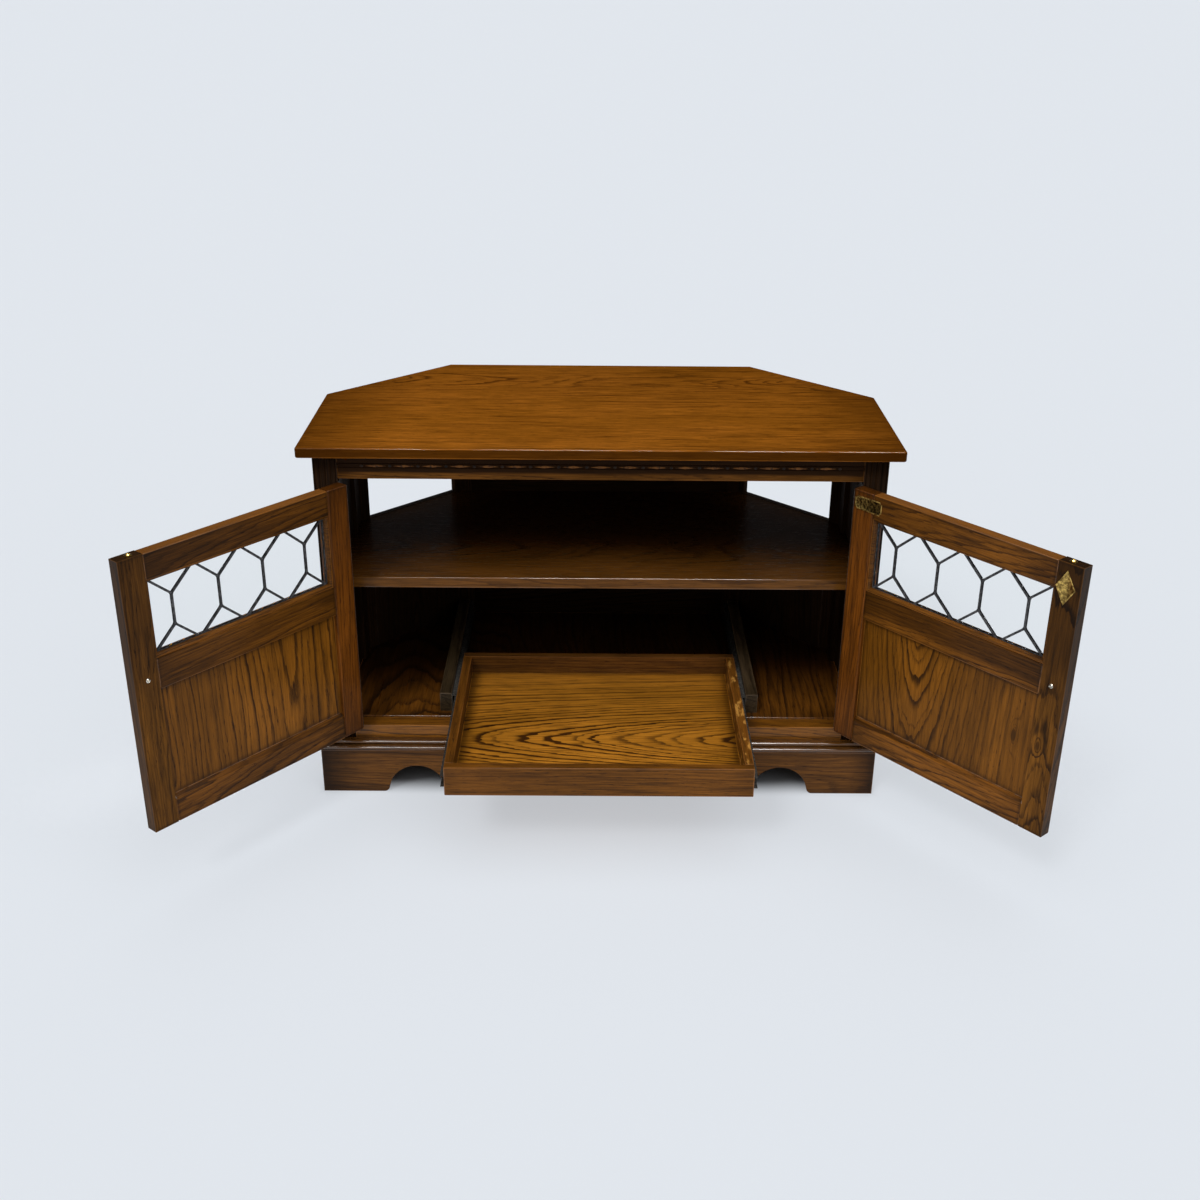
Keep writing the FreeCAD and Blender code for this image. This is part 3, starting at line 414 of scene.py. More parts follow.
def member_axes(shader, obj, turn, grain):
    """Places on a member from its middle, by the way of its grain, with its half sizes."""
    low, high = member_box(obj, turn)
    sockets = {"Vector": shader.spot(), "Location": turn.to_translation(),
               "Rotation": turn.to_euler()}
    local = shader.node("Mapping", sockets, vector_type="POINT").outputs[0]
    centred = shader.stretch(local, (1.0, 1.0, 1.0), -(low + high) / 2)
    split = shader.node("SeparateXYZ", {"Vector": centred})
    along, across, through = (split.outputs["xyz".index(letter)] for letter in grain)
    halves = {letter: (high - low)["xyz".index(letter)] / 2 for letter in grain}
    ordered = shader.node("CombineXYZ", {"X": across, "Y": through, "Z": along}).outputs[0]
    return {"across": across, "through": through, "along": along, "ordered": ordered,
            "axes": split.outputs, "halves": halves, "grain": grain}


def year_rings(shader, place, cut, shift, pitch):
    """Growth rings as darkness with a sharp start and a soft tail, and each ring's own strength."""
    bend = grain_noise(shader, place, "bend", shift)
    sway = grain_noise(shader, place, "sway", shift)
    step = grain_noise(shader, place, "step", shift)
    beside = shader.plus(place["across"], cut["heart"][0])
    below = shader.plus(place["through"], cut["heart"][1])
    squares = shader.plus(shader.times(beside, beside), shader.times(below, below))
    far = shader.sum("DIVIDE", beside, cut["span"])
    near_heart = shader.sum("DIVIDE", 1.0, shader.gain(far, far, 1.0))
    reach = shader.plus(place["along"], place["halves"][place["grain"][0]])
    lean = shader.times(shader.times(reach, cut["cone"]), near_heart)
    radius = shader.plus(shader.sum("SQRT", squares), lean)
    for field, name in ((bend, "bend"), (sway, "sway"), (step, "step")):
        radius = shader.gain(field, cut[name] * 2.0, radius)
    if "knot" in cut:
        knot = cut["knot"]
        radius = shader.gain(knot_rise(shader, place, knot), knot["rise"], radius)
    phase = shader.sum("DIVIDE", radius, pitch * cut["pitch"])
    sockets = {"W": shader.times(phase, YEAR_WANDER_PACE), "Detail": 1.0, "Scale": 1.0}
    uneven = shader.node("TexNoise", sockets, noise_dimensions="1D").outputs[0]
    phase = shader.gain(uneven, YEAR_WANDER, phase)
    year = shader.sum("FRACT", phase)
    ring = shader.sum("FLOOR", phase)
    strength = shader.node("TexWhiteNoise", {"W": ring}, noise_dimensions="1D").outputs["Value"]
    early = shader.times(shader.ramp(year, 0.0, 0.07), shader.ramp(year, 0.50, 0.12))
    early = shader.times(early, shader.spread(near_heart, cut["fade"], 1.0))
    return early, shader.spread(strength, 0.25, 1.0), bend, sway


def knot_rise(shader, place, knot):
    """A hump that the rings flow round."""
    beside = shader.sum("DIVIDE", shader.minus(place["across"], knot["across"]), knot["width"])
    along = shader.sum("DIVIDE", shader.minus(place["along"], knot["along"]), knot["length"])
    squares = shader.plus(shader.times(beside, beside), shader.times(along, along))
    return shader.sum("DIVIDE", 1.0, shader.gain(squares, squares, 1.0))


def face_gaps(shader, place):
    """Distances to a member's end, edge and broad faces, and the distance to its nearest arris."""
    gaps = []
    for letter in place["grain"]:
        offset = shader.sum("ABSOLUTE", place["axes"]["xyz".index(letter)])
        gaps.append(shader.minus(place["halves"][letter], offset))
    least = shader.sum("MINIMUM", shader.sum("MINIMUM", gaps[0], gaps[1]), gaps[2])
    most = shader.sum("MAXIMUM", shader.sum("MAXIMUM", gaps[0], gaps[1]), gaps[2])
    total = shader.plus(shader.plus(gaps[0], gaps[1]), gaps[2])
    # the middle one of the three distances is the one to the nearest arris
    return gaps, shader.minus(total, shader.plus(least, most))


def oak(node, tones, grain, seed, cut=STRAIGHT, turn=SQUARE, gloss=0.34, ends=(0.05, 0.35),
        flecks=0.0, painted_shade_and_tone=None, rim=(0.0, 0.0), figure_share=1.0, coat=0.0, streaks=1.0,
        painted_side_shade=0.0, shine=0.10, mottle=1.0, crown=0.0, wear_and_highlight=0.75):
    """Stained oak on one member. The grain string names the axes along the grain, across the face
    and through it. Ends and rim darken it near its ends and arrises, by a width and a strength; the
    rim is partly a dark stain along edges and joints and partly painted shade in corners where the
    member meets others. The shade setting darkens it along one axis between two shares of its half
    size, which is painted shade on members that lie in another's shade; the side setting darkens its
    narrow faces as painted shade, and crown lightens its top edge. The wear setting lightens its
    arrises, partly as wear and partly as a painted highlight. Mottle is the strength of its broad
    patches. A coat of None leaves it dull."""
    obj = frame["nodes"][node]
    oak_set = bpy.context.scene.cabinet_oak
    ground, figure = (tuple(getattr(oak_set, tones + part)) for part in ("_ground", "_figure"))
    deep = tuple(part * DEEP_SHARE for part in figure)
    shader = Shader(bpy.data.materials.new("oak_" + obj.name))
    place = member_axes(shader, obj, turn, grain)
    shift = Vector((3.7, 1.3, 2.1)) * seed
    early, year_strength, bend, sway = year_rings(shader, place, cut, shift, oak_set.ring_pitch)
    fibre = grain_noise(shader, place, "fibre", shift)
    streak = grain_noise(shader, place, "streak", shift)
    cloud = shader.ramp(grain_noise(shader, place, "cloud", shift * 2.0), 0.30, 0.70)
    across_pore = 0.45 / oak_set.pore_width
    pore_scales = (across_pore, across_pore, 0.6 / oak_set.pore_length)
    pore_field = shader.noise(shader.stretch(place["ordered"], pore_scales, shift), 1.0, 1.5, 0.5)
    pore_limit = shader.gain(early, -0.14, 0.68)
    pores = shader.ramp(shader.minus(pore_field, pore_limit), 0.0, 0.06)
    line = shader.times(shader.times(early, year_strength), shader.spread(fibre, 0.45, 1.55))
    line = shader.times(line, figure_share, clamp=True)
    colour = shader.blend(line, ground, figure)
    if "knot" in cut:
        heart = shader.ramp(knot_rise(shader, place, cut["knot"]), 0.90, 1.0)
        colour = shader.stain(colour, heart, KNOT_STRENGTH, deep)
    streaked = shader.ramp(streak, 0.46, 0.78)
    colour = shader.stain(colour, streaked, STREAK_STRENGTH * streaks, figure)
    fibres = 0.30 * streaks
    fibrous = shader.spread(shader.ramp(fibre, 0.32, 0.68), 1.0 - fibres, 1.0 + fibres)
    grey = shader.times(fibrous, shader.spread(cloud, 1.0 - 0.28 * mottle, 1.0 + 0.26 * mottle))
    tint = {"Red": grey, "Green": grey, "Blue": shader.times(grey, shader.spread(cloud, 0.85, 1.0))}
    colour = shader.blend(1.0, colour, shader.node("CombineColor", tint).outputs[0], "MULTIPLY")
    if flecks:
        fleck_field = shader.ramp(grain_noise(shader, place, "fleck", shift), 0.55, 0.66)
        colour = shader.stain(colour, fleck_field, flecks, oak_set.fleck)
    colour = shader.stain(colour, pores, PORE_STRENGTH, oak_set.pore)
    gaps, edge = face_gaps(shader, place)
    width, strength = ends
    dark_end = shader.ramp(shader.gain(bend, width * -0.8, gaps[0]), width * 0.75, width * -0.4)
    colour = shader.stain(colour, dark_end, strength, deep)
    # Darker near the arrises: partly a dark stain along edges and joints, partly painted shade in the corners
    # where the member meets others, as round the door panels and the tray bottom
    width, strength = rim
    if width:
        rim_stain_and_shade = shader.ramp(shader.gain(bend, width * -0.5, edge), width * 0.8, width * -0.2)
        colour = shader.stain(colour, rim_stain_and_shade, strength, deep)
    # Darkening along one axis: painted shade on members lying in another's shade, as the shelf under the top, the
    # floor board under the shelf and the frieze under the top's overhang; on the top and the door members it only
    # makes one part darker
    if painted_shade_and_tone:
        letter, first, last, strength = painted_shade_and_tone
        half = place["halves"][letter]
        level = shader.gain(bend, half * -0.3, place["axes"]["xyz".index(letter)])
        darker = shader.ramp(level, half * (first - 0.15), half * (last - 0.15))
        colour = shader.stain(colour, darker, strength, deep)
    # Painted shade: the narrow faces are darkened as if they got less light
    if painted_side_shade:
        colour = shader.stain(colour, shader.ramp(gaps[2], *SHADED_SIDE_BAND), painted_side_shade, deep)
    # Lighter line along the arrises: partly wear, partly a painted highlight
    near_arris = shader.ramp(edge, oak_set.arris_width, 0.0)
    worn = shader.times(near_arris, shader.ramp(sway, 0.30, 0.62))
    lighter = tuple(min(1.0, part * WEAR_AND_HIGHLIGHT_GAIN + WEAR_AND_HIGHLIGHT_LIFT) for part in ground)
    colour = shader.stain(colour, worn, wear_and_highlight, lighter)
    if crown:
        half = place["halves"]["z"]
        topmost = shader.ramp(place["axes"]["Z"], half - CROWN_BAND[0], half - CROWN_BAND[1])
        colour = shader.stain(colour, topmost, crown, lighter)
    roughness = shader.gain(pores, 0.20, shader.spread(streak, gloss - 0.06, gloss + 0.10))
    relief = shader.minus(shader.times(fibre, 0.35), shader.plus(pores, shader.times(early, 0.20)))
    sockets = {"Base Color": colour, "Roughness": roughness, "Specular IOR Level": shine}
    if coat is not None:
        rubbed = shader.times(near_arris, shader.ramp(streak, 0.30, 0.60))
        sockets["Coat Weight"] = shader.spread(rubbed, oak_set.lacquer + coat, 1.0)
        sockets["Coat Roughness"] = oak_set.lacquer_roughness
        sockets["Coat IOR"] = COAT_IOR
    dress(obj, shader.finish(sockets, bump=relief, bump_distance=GRAIN_RELIEF, bump_strength=0.5))


def dress(obj, material):
    """Gives a piece one material."""
    obj.data.materials.clear()
    obj.data.materials.append(material)


def worn_metal(name, base, worn, roughness, metallic, grain_scale):
    """Metal with rubbed and darkened places."""
    shader = Shader(bpy.data.materials.new(name))
    place = shader.spot()
    patches = shader.noise(place, grain_scale, 4.0, 0.6)
    fine = shader.noise(place, grain_scale * 9.0, 3.0, 0.6)
    rubbed = shader.ramp(shader.gain(fine, 0.25, patches), 0.52, 0.78)
    colour = shader.blend(rubbed, base, worn)
    rough = shader.spread(shader.gain(fine, 0.4, shader.times(patches, 0.6)),
                          roughness - 0.10, roughness + 0.16)
    return shader.finish({"Base Color": colour, "Roughness": rough, "Metallic": metallic},
                         bump=fine, bump_distance=METAL_RELIEF, bump_strength=0.35)


def clear_glass(colour):
    """The clear panes, with the faintest ripple and dust."""
    shader = Shader(bpy.data.materials.new("clear_pane"))
    place = shader.spot()
    ripple = shader.noise(place, 22.0, 2.0, 0.5)
    dust = shader.noise(place, 900.0, 2.0, 0.6)
    rough = shader.spread(shader.ramp(dust, 0.55, 0.85), 0.01, 0.10)
    dusty = tuple(part * 0.96 for part in colour)
    tint = shader.blend(shader.ramp(dust, 0.60, 0.95), colour, dusty)
    sockets = {"Base Color": tint, "Roughness": rough, "IOR": 1.01, "Transmission Weight": 1.0,
               "Specular IOR Level": 0.2}
    return shader.finish(sockets, bump=ripple, bump_strength=0.05)


# Mesh helpers

def soften(node, width, segments=2):
    """Takes the sharpness off a member's arrises."""
    obj = frame["nodes"][node]
    weld = obj.modifiers.new("weld", "WELD")
    weld.merge_threshold = 0.00001
    bevel = obj.modifiers.new("arrises", "BEVEL")
    bevel.width = width
    bevel.segments = segments
    bevel.limit_method = "ANGLE"
    bevel.angle_limit = math.radians(ARRIS_ANGLE)
    bevel.use_clamp_overlap = True
    bevel.harden_normals = False


def new_piece(name, mesh_maker, body, place, material):
    """Makes one scene piece from a function that fills a bmesh, in the frame that place gives."""
    mesh = bpy.data.meshes.new(name)
    shape = bmesh.new()
    mesh_maker(shape)
    shape.transform(place)
    bmesh.ops.recalc_face_normals(shape, faces=shape.faces)
    shape.to_mesh(mesh)
    shape.free()
    mesh.polygons.foreach_set("use_smooth", [True] * len(mesh.polygons))
    obj = bpy.data.objects.new(name, mesh)
    bpy.context.scene.collection.objects.link(obj)
    sharp_by_angle(obj)
    obj.data.materials.append(material)
    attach(obj, body)
    return obj


def sharp_by_angle(obj):
    """Keeps crisp edges crisp and round faces smooth."""
    bpy.context.view_layer.update()
    obj.data.set_sharp_from_angle(angle=math.radians(CRISP_ANGLE))


def loft(shape, rings, capped=True):
    """Skins a row of point rings, with or without a cap at both ends."""
    rows = [[shape.verts.new(point) for point in ring] for ring in rings]
    count = len(rows[0])
    for lower, upper in zip(rows, rows[1:]):
        for index in range(count):
            following = (index + 1) % count
            shape.faces.new((lower[index], lower[following], upper[following], upper[index]))
    if capped:
        shape.faces.new(list(reversed(rows[0])))
        shape.faces.new(rows[-1])


def circle(radius, height, count=20):
    """Points of a level ring."""
    turns = [math.tau * index / count for index in range(count)]
    return [(radius * math.cos(turn), radius * math.sin(turn), height) for turn in turns]


def dome_rings(radius, stand, steps=5, count=20):
    """Rings of a low dome that stands on a face along +Z and is let a little way into it."""
    rings = [circle(radius, -SINK, count)]
    for step in range(steps):
        lean = math.radians(DOME_LEAN) * step / (steps - 1)
        rings.append(circle(radius * math.cos(lean), stand * math.sin(lean), count))
    return rings


def facing(origin, outward):
    """Matrix that stands a piece drawn on the XY plane on a face, its +Z outward and its +Y up."""
    forward = Vector(outward).normalized()
    above = Vector((0.0, 0.0, 1.0))
    sideways = above.cross(forward)
    turned = Matrix((sideways, above, forward)).transposed().to_4x4()
    return Matrix.Translation(Vector(origin)) @ turned


# Operators

class CABINET_OT_finish_carcase(bpy.types.Operator):
    """Give the carcase boards, posts, shelf, moulding and plinth their stained oak"""

    bl_idname = "cabinet.finish_carcase"
    bl_label = "Finish the Carcase"

    def execute(self, context):
        oak_set = context.scene.cabinet_oak
        top_cut = {"heart": (-0.150, 0.030), "cone": 0.10, "span": 0.05, "bend": 0.030,
                   "sway": 0.0045, "step": 0.0020, "pitch": 1.1, "fade": 0.35}
        floor_cut = dict(CATHEDRAL, heart=(0.310, 0.050), span=0.10, cone=0.30, pitch=2.8,
                         bend=0.05, fade=1.0)
        # The top's front edge and other narrow faces are darkened as painted shade
        oak("top_board", "top", "xyz", 1.0, top_cut, gloss=0.30, ends=(0.17, 0.58),
            rim=(0.020, 0.25), figure_share=1.3, streaks=1.25, painted_side_shade=0.83, shine=0.0,
            mottle=0.55, painted_shade_and_tone=("y", -0.2, 0.6, 0.27), coat=-oak_set.lacquer)
        # The frieze's upper part is darkened as painted shade under the top's overhang
        oak("frieze_rail", "base", "xzy", 2.0, GENTLE, painted_shade_and_tone=("z", -0.62, -0.35, 0.915), **DULL)
        # The shelf darkens towards its back as painted shade under the top
        oak("shelf", "shelf", "xyz", 3.0, GENTLE, gloss=0.22, painted_shade_and_tone=("y", -0.9, 0.1, 0.90),
            ends=(0.05, 0.6))
        # The floor board darkens towards its back as painted shade under the shelf
        oak("floor_board", "floor", "yxz", 4.4, floor_cut, gloss=0.28, painted_shade_and_tone=("y", -0.9, 0.1, 0.8))
        oak("base_rail", "panel", "xyz", 5.0, GENTLE, coat=0.2)
        # The centre back's near black tone is partly painted shade inside the cabinet
        oak("centre_back", "dark", "xzy", 6.0, **DULL)
        oak("base_moulding", "base", "xzy", 7.0, gloss=0.18, coat=0.90)
        oak("front_plinth", "base", "xzy", 8.0, GENTLE, ends=(0.05, 0.75), rim=(0.018, 0.45))
        oak("back_plinth", "base", "xzy", 9.0)
        for word, side in SIDES:
            seed = 10.0 + side * 0.7
            oak(word + "_front_post", "dark", "zxy", seed, gloss=0.60, **DULL)
            # The boards and posts seen inside the cabinet take the near black tone, partly as painted shade
            oak(word + "_side_board", "dark", "zyx", seed + 1.0, CATHEDRAL, gloss=0.75, **DULL)
            oak(word + "_rear_post", "dark", "zxy", seed + 2.0, gloss=0.75, **DULL)
            oak(word + "_back_post", "dark", "zxy", seed + 3.0, gloss=0.75, **DULL)
            oak(word + "_diagonal_board", "dark", "zxy", seed + 4.0, CATHEDRAL, diagonal_turn(side))
            oak(word + "_plinth", "base", "yzx", seed + 5.0)
            oak(word + "_runner", "runner", "yzx", seed + 6.0, shine=0.05)
        for node in frame["record"]["behaviour"]["bodies"]["carcase"]:
            if "top_board" not in node:
                soften(node, 0.0008)
        return {"FINISHED"}


class CABINET_OT_finish_tray(bpy.types.Operator):
    """Give the pull-out tray its lighter oak bottom and brown rims"""

    bl_idname = "cabinet.finish_tray"
    bl_label = "Finish the Tray"

    def execute(self, context):
        bottom_cut = {"heart": (0.055, 0.026), "cone": -0.27, "span": 0.115, "bend": 0.014,
                      "sway": 0.0060, "step": 0.0042, "pitch": 2.3, "fade": 0.18}
        # The rim darkens the tray bottom along its walls as painted shade
        oak("tray_bottom", "tray", "xyz", 21.0, bottom_cut, rim=(0.014, 0.5), ends=(0.03, 0.3),
            figure_share=1.9, streaks=0.85, mottle=0.8)
        oak("tray_front", "rim", "xzy", 22.0)
        # The tray's back wall takes the darker plinth tone, as painted shade deeper in the cabinet
        oak("tray_back", "base", "xzy", 23.0)
        oak("tray_left_side", "rim", "yzx", 24.0)
        oak("tray_right_side", "rim", "yzx", 25.0, flecks=0.8)
        for node in ("tray_bottom", "tray_front", "tray_back", "tray_left_side", "tray_right_side"):
            soften(node, 0.0010)
        return {"FINISHED"}


class CABINET_OT_finish_doors(bpy.types.Operator):
    """Give both doors their oak stiles, rails and figured panels"""

    bl_idname = "cabinet.finish_doors"
    bl_label = "Finish the Doors"

    def execute(self, context):
        plain_cut = dict(CATHEDRAL, sway=0.010, bend=0.050, pitch=1.7, step=0.0035, fade=0.9)
        stile_knot = {"across": 0.006, "along": -0.078, "width": 0.007, "length": 0.017,
                      "rise": 0.022}
        panel_knot = {"across": -0.1375, "along": 0.005, "width": 0.009, "length": 0.024,
                      "rise": 0.040}
        free_cuts = {1: dict(plain_cut, sway=0.013, pitch=2.1, knot=stile_knot), -1: GENTLE}
        rail_cut = dict(GENTLE, heart=(0.030, 0.012), cone=0.10, sway=0.006, step=0.0030, pitch=1.6)
        panel_cuts = {
            1: {"heart": (-0.0560, 0.024), "cone": -0.32, "span": 0.075, "bend": 0.012,
                "sway": 0.0070, "step": 0.0034, "pitch": 2.4, "fade": 0.36, "knot": panel_knot},
            -1: {"heart": (0.075, 0.060), "cone": -0.03, "span": 0.10, "bend": 0.026,
                 "sway": 0.0050, "step": 0.0030, "pitch": 1.9, "fade": 0.8},
        }
        for word, side in SIDES:
            turn = door_turn(side)
            seed = 30.0 + side * 1.7
            # Shared settings of the frame members: their rim darkening near the arrises is partly dark joints and
            # partly painted shade
            worn = {"rim": (0.007, 0.55), "mottle": 1.5, "shine": 0.07}
            oak(word + "_hinge_stile", "hinge", "zxy", seed, GENTLE, turn, **worn)
            # The free stile's narrow faces are darkened as painted shade
            oak(word + "_free_stile", "stile", "zxy", seed + 1.0, free_cuts[side], turn,
                ends=(0.05, 0.30), painted_shade_and_tone=("z", -0.35, 0.5, 0.66), painted_side_shade=0.55, coat=None,
                wear_and_highlight=0.2, **worn)
            oak(word + "_top_rail", "frame", "xzy", seed + 2.0, rail_cut, turn, ends=(0.09, 0.45),
                painted_shade_and_tone=("x", -1.6, 0.0, 0.62 if side < 0 else 0.15), crown=0.45, **worn)
            oak(word + "_mid_rail", "frame", "xzy", seed + 3.0, GENTLE, turn,
                painted_shade_and_tone=("z", -0.95, -0.15, 0.62 if side > 0 else 0.05), **worn)
            oak(word + "_bottom_rail", "frame", "xzy", seed + 4.0, rail_cut, turn, **worn)
            # The rim darkens the panel round its frame as painted shade
            oak(word + "_door_panel", "panel", "zxy", seed + 5.0, panel_cuts[side], turn,
                rim=(0.010, 0.55), ends=(0.03, 0.2), mottle=1.2, shine=0.07, streaks=0.7)
            oak(word + "_glazing_bead", "frame", "xzy", seed + 6.0, STRAIGHT, turn)
            for node in ("hinge_stile", "free_stile", "top_rail", "mid_rail", "bottom_rail"):
                soften(word + "_" + node, 0.0024, 3)
        return {"FINISHED"}


class CABINET_OT_finish_leaded_lights(bpy.types.Operator):
    """Give the door lights their clear panes and dull lead cames"""

    bl_idname = "cabinet.finish_leaded_lights"
    bl_label = "Finish the Leaded Lights"

    def execute(self, context):
        tones = context.scene.cabinet_metal
        lead = worn_metal("lead_came", tones.lead, tones.lead_worn, 0.50, 0.65, 160.0)
        pane = clear_glass(tones.glass)
        for word, _ in SIDES:
            dress(frame["nodes"][word + "_lead_lattice"], lead)
            dress(frame["nodes"][word + "_glass"], pane)
        return {"FINISHED"}


class CABINET_OT_finish_metalwork(bpy.types.Operator):
    """Give the hinges and slides dark steel, and the handles and catches aged brass"""

    bl_idname = "cabinet.finish_metalwork"
    bl_label = "Finish the Metalwork"

    def execute(self, context):
        tones = context.scene.cabinet_metal
        steel = worn_metal("slide_steel", tones.steel, tones.steel_worn, 0.62, 0.8, 300.0)
        brass = worn_metal("aged_brass", tones.brass_aged, tones.brass, 0.30, 1.0, 140.0)
        fittings = (("leaf", steel), ("slide", steel), ("handle", brass), ("catch", brass))
        for node, obj in frame["nodes"].items():
            for word, material in fittings:
                if word in node:
                    dress(obj, material)
        return {"FINISHED"}


# The way that a shut door's inner face looks
INWARD = (0.0, 1.0, 0.0)


def door_place(side, reach, depth, level, outward):
    """Place of a fitting on an open door, from its distances to the pin and the way it faces."""
    open_door = door_turn(side).inverted()
    origin = open_door @ Vector((-side * reach, depth, level))
    return facing(origin, open_door.to_3x3() @ Vector(outward))


class CABINET_OT_carve_frieze(bpy.types.Operator):
    """Carve the row of small bosses and pointed darts in the frieze channel"""

    bl_idname = "cabinet.carve_frieze"
    bl_label = "Carve the Frieze"

    def execute(self, context):
        sizes = context.scene.cabinet_fittings
        tones = context.scene.cabinet_oak
        first = -sizes.boss_pitch * (sizes.boss_count - 1) / 2

        def bosses(shape):
            for number in range(sizes.boss_count):
                middle = (first + number * sizes.boss_pitch, 0.0)
                dome_at(shape, middle, sizes.boss_radius, sizes.boss_stand)

        def darts(shape):
            for number in range(sizes.boss_count - 1):
                dart_at(shape, first + (number + 0.5) * sizes.boss_pitch, sizes)

        place = facing((0.0, sizes.channel_floor, sizes.channel_height), (0.0, -1.0, 0.0))
        for name, maker, ground in (("frieze_bosses", bosses, tones.dark_ground),
                                    ("frieze_darts", darts, tones.frame_ground)):
            shader = Shader(bpy.data.materials.new(name + "_oak"))
            grime = shader.ramp(shader.noise(shader.spot(), 260.0), 0.42, 0.72)
            colour = shader.blend(grime, ground, tones.dark_figure)
            rough = shader.spread(grime, 0.30, 0.55)
            sockets = {"Base Color": colour, "Roughness": rough, "Specular IOR Level": 0.2}
            material = shader.finish(sockets, bump=grime, bump_distance=0.0001)
            new_piece(name, maker, "carcase", place, material)
        return {"FINISHED"}


def dome_at(shape, middle, radius, stand):
    """A low dome at a place on the face."""
    rings = dome_rings(radius, stand)
    loft(shape, [[(x + middle[0], y + middle[1], z) for x, y, z in ring] for ring in rings])


# A dart's edge as a share of its height, and its ridge as a share of its length
DART_EDGE_SHARE = 0.45
DART_RIDGE_SHARE = 0.55


def dart_at(shape, middle, sizes):
    """A long lozenge with a ridge, pointed at both ends."""
    half_length = sizes.dart_length / 2
    half_height = sizes.dart_height / 2
    foot = [(middle - half_length, 0.0), (middle, -half_height), (middle + half_length, 0.0),
            (middle, half_height)]
    low = [shape.verts.new((x, y, -SINK)) for x, y in foot]
    edge = [shape.verts.new((x, y, sizes.dart_stand * DART_EDGE_SHARE)) for x, y in foot]
    half_ridge = half_length * DART_RIDGE_SHARE
    ridge = [shape.verts.new((middle + way * half_ridge, 0.0, sizes.dart_stand)) for way in (-1, 1)]
    shape.faces.new(list(reversed(low)))
    for index in range(4):
        following = (index + 1) % 4
        shape.faces.new((low[index], low[following], edge[following], edge[index]))
    left, lowest, right, highest = edge
    first, last = ridge
    for corners in ((left, lowest, first), (lowest, last, first), (lowest, right, last),
                    (right, highest, last), (highest, first, last), (highest, left, first)):
        shape.faces.new(corners)


# A slot's floor as a share of the head's height, and how many half widths away points fall into it
SLOT_FLOOR_SHARE = 0.35
SLOT_REACH = 2.2
# How far each hinge screw's slot is turned on from the one below, and a handle's screw, in degrees
LEAF_SCREW_TURN = 37.0
HANDLE_SCREW_TURN = 25.0


class CABINET_OT_fit_screws(bpy.types.Operator):
    """Fit the slotted screws of the hinge leaves and the pale screws that hold the handles"""

    bl_idname = "cabinet.fit_screws"
    bl_label = "Fit the Screws"

    def execute(self, context):
        sizes = context.scene.cabinet_fittings
        tones = context.scene.cabinet_metal
        steel = worn_metal("screw_steel", tones.steel_worn, tones.nickel_dull, 0.38, 0.9, 500.0)
        nickel = worn_metal("pale_nickel", tones.nickel_dull, tones.nickel, 0.24, 1.0, 420.0)
        for word, side in SIDES:
            door = word + "_door"
            pin = Vector(JOINTS[door + "_hinge"]["pos_m"])
            for body, leaf in ((door, door + "_leaf"), ("carcase", word + "_post_leaf")):
                low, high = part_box(leaf)
                post_face = low[0] if side > 0 else high[0]
                for number in range(sizes.screw_count):
                    level = low[2] + (high[2] - low[2]) * (number + 0.5) / sizes.screw_count
                    if body == "carcase":
                        face = (post_face, pin.y + sizes.leaf_inset, level)
                        place = facing(face, (-side, 0.0, 0.0))
                    else:
                        place = self.door_leaf_place(side, sizes, level)
                    self.screw("%s_screw_%d" % (leaf, number + 1), sizes.screw_radius,
                               sizes.screw_stand, body, place, steel, LEAF_SCREW_TURN * number)
            place = door_place(side, sizes.handle_reach, sizes.inner_face, sizes.handle_height,
                               INWARD)
            self.screw(word + "_handle_screw", sizes.fixing_radius, sizes.fixing_stand, door,
                       place, nickel, HANDLE_SCREW_TURN * side)
        return {"FINISHED"}

    def door_leaf_place(self, side, sizes, level):
        """Place of a screw on the door's hinge leaf, which looks at the post when shut."""
        return door_place(side, -DOOR_LEAF_FACE, sizes.leaf_inset, level, (side, 0.0, 0.0))

    def screw(self, name, radius, stand, body, place, material, turn):
        """A round head with a cut slot."""
        slot_half = bpy.context.scene.cabinet_fittings.slot_width / 2

        def head(shape):
            loft(shape, dome_rings(radius, stand, 6, 24))
            floor = stand * SLOT_FLOOR_SHARE
            for vertex in shape.verts:
                if abs(vertex.co.y) < slot_half * SLOT_REACH and vertex.co.z > floor:
                    vertex.co.z = floor
            turned = Matrix.Rotation(math.radians(turn), 3, "Z")
            bmesh.ops.rotate(shape, verts=shape.verts, matrix=turned)

        new_piece(name, head, body, place, material)


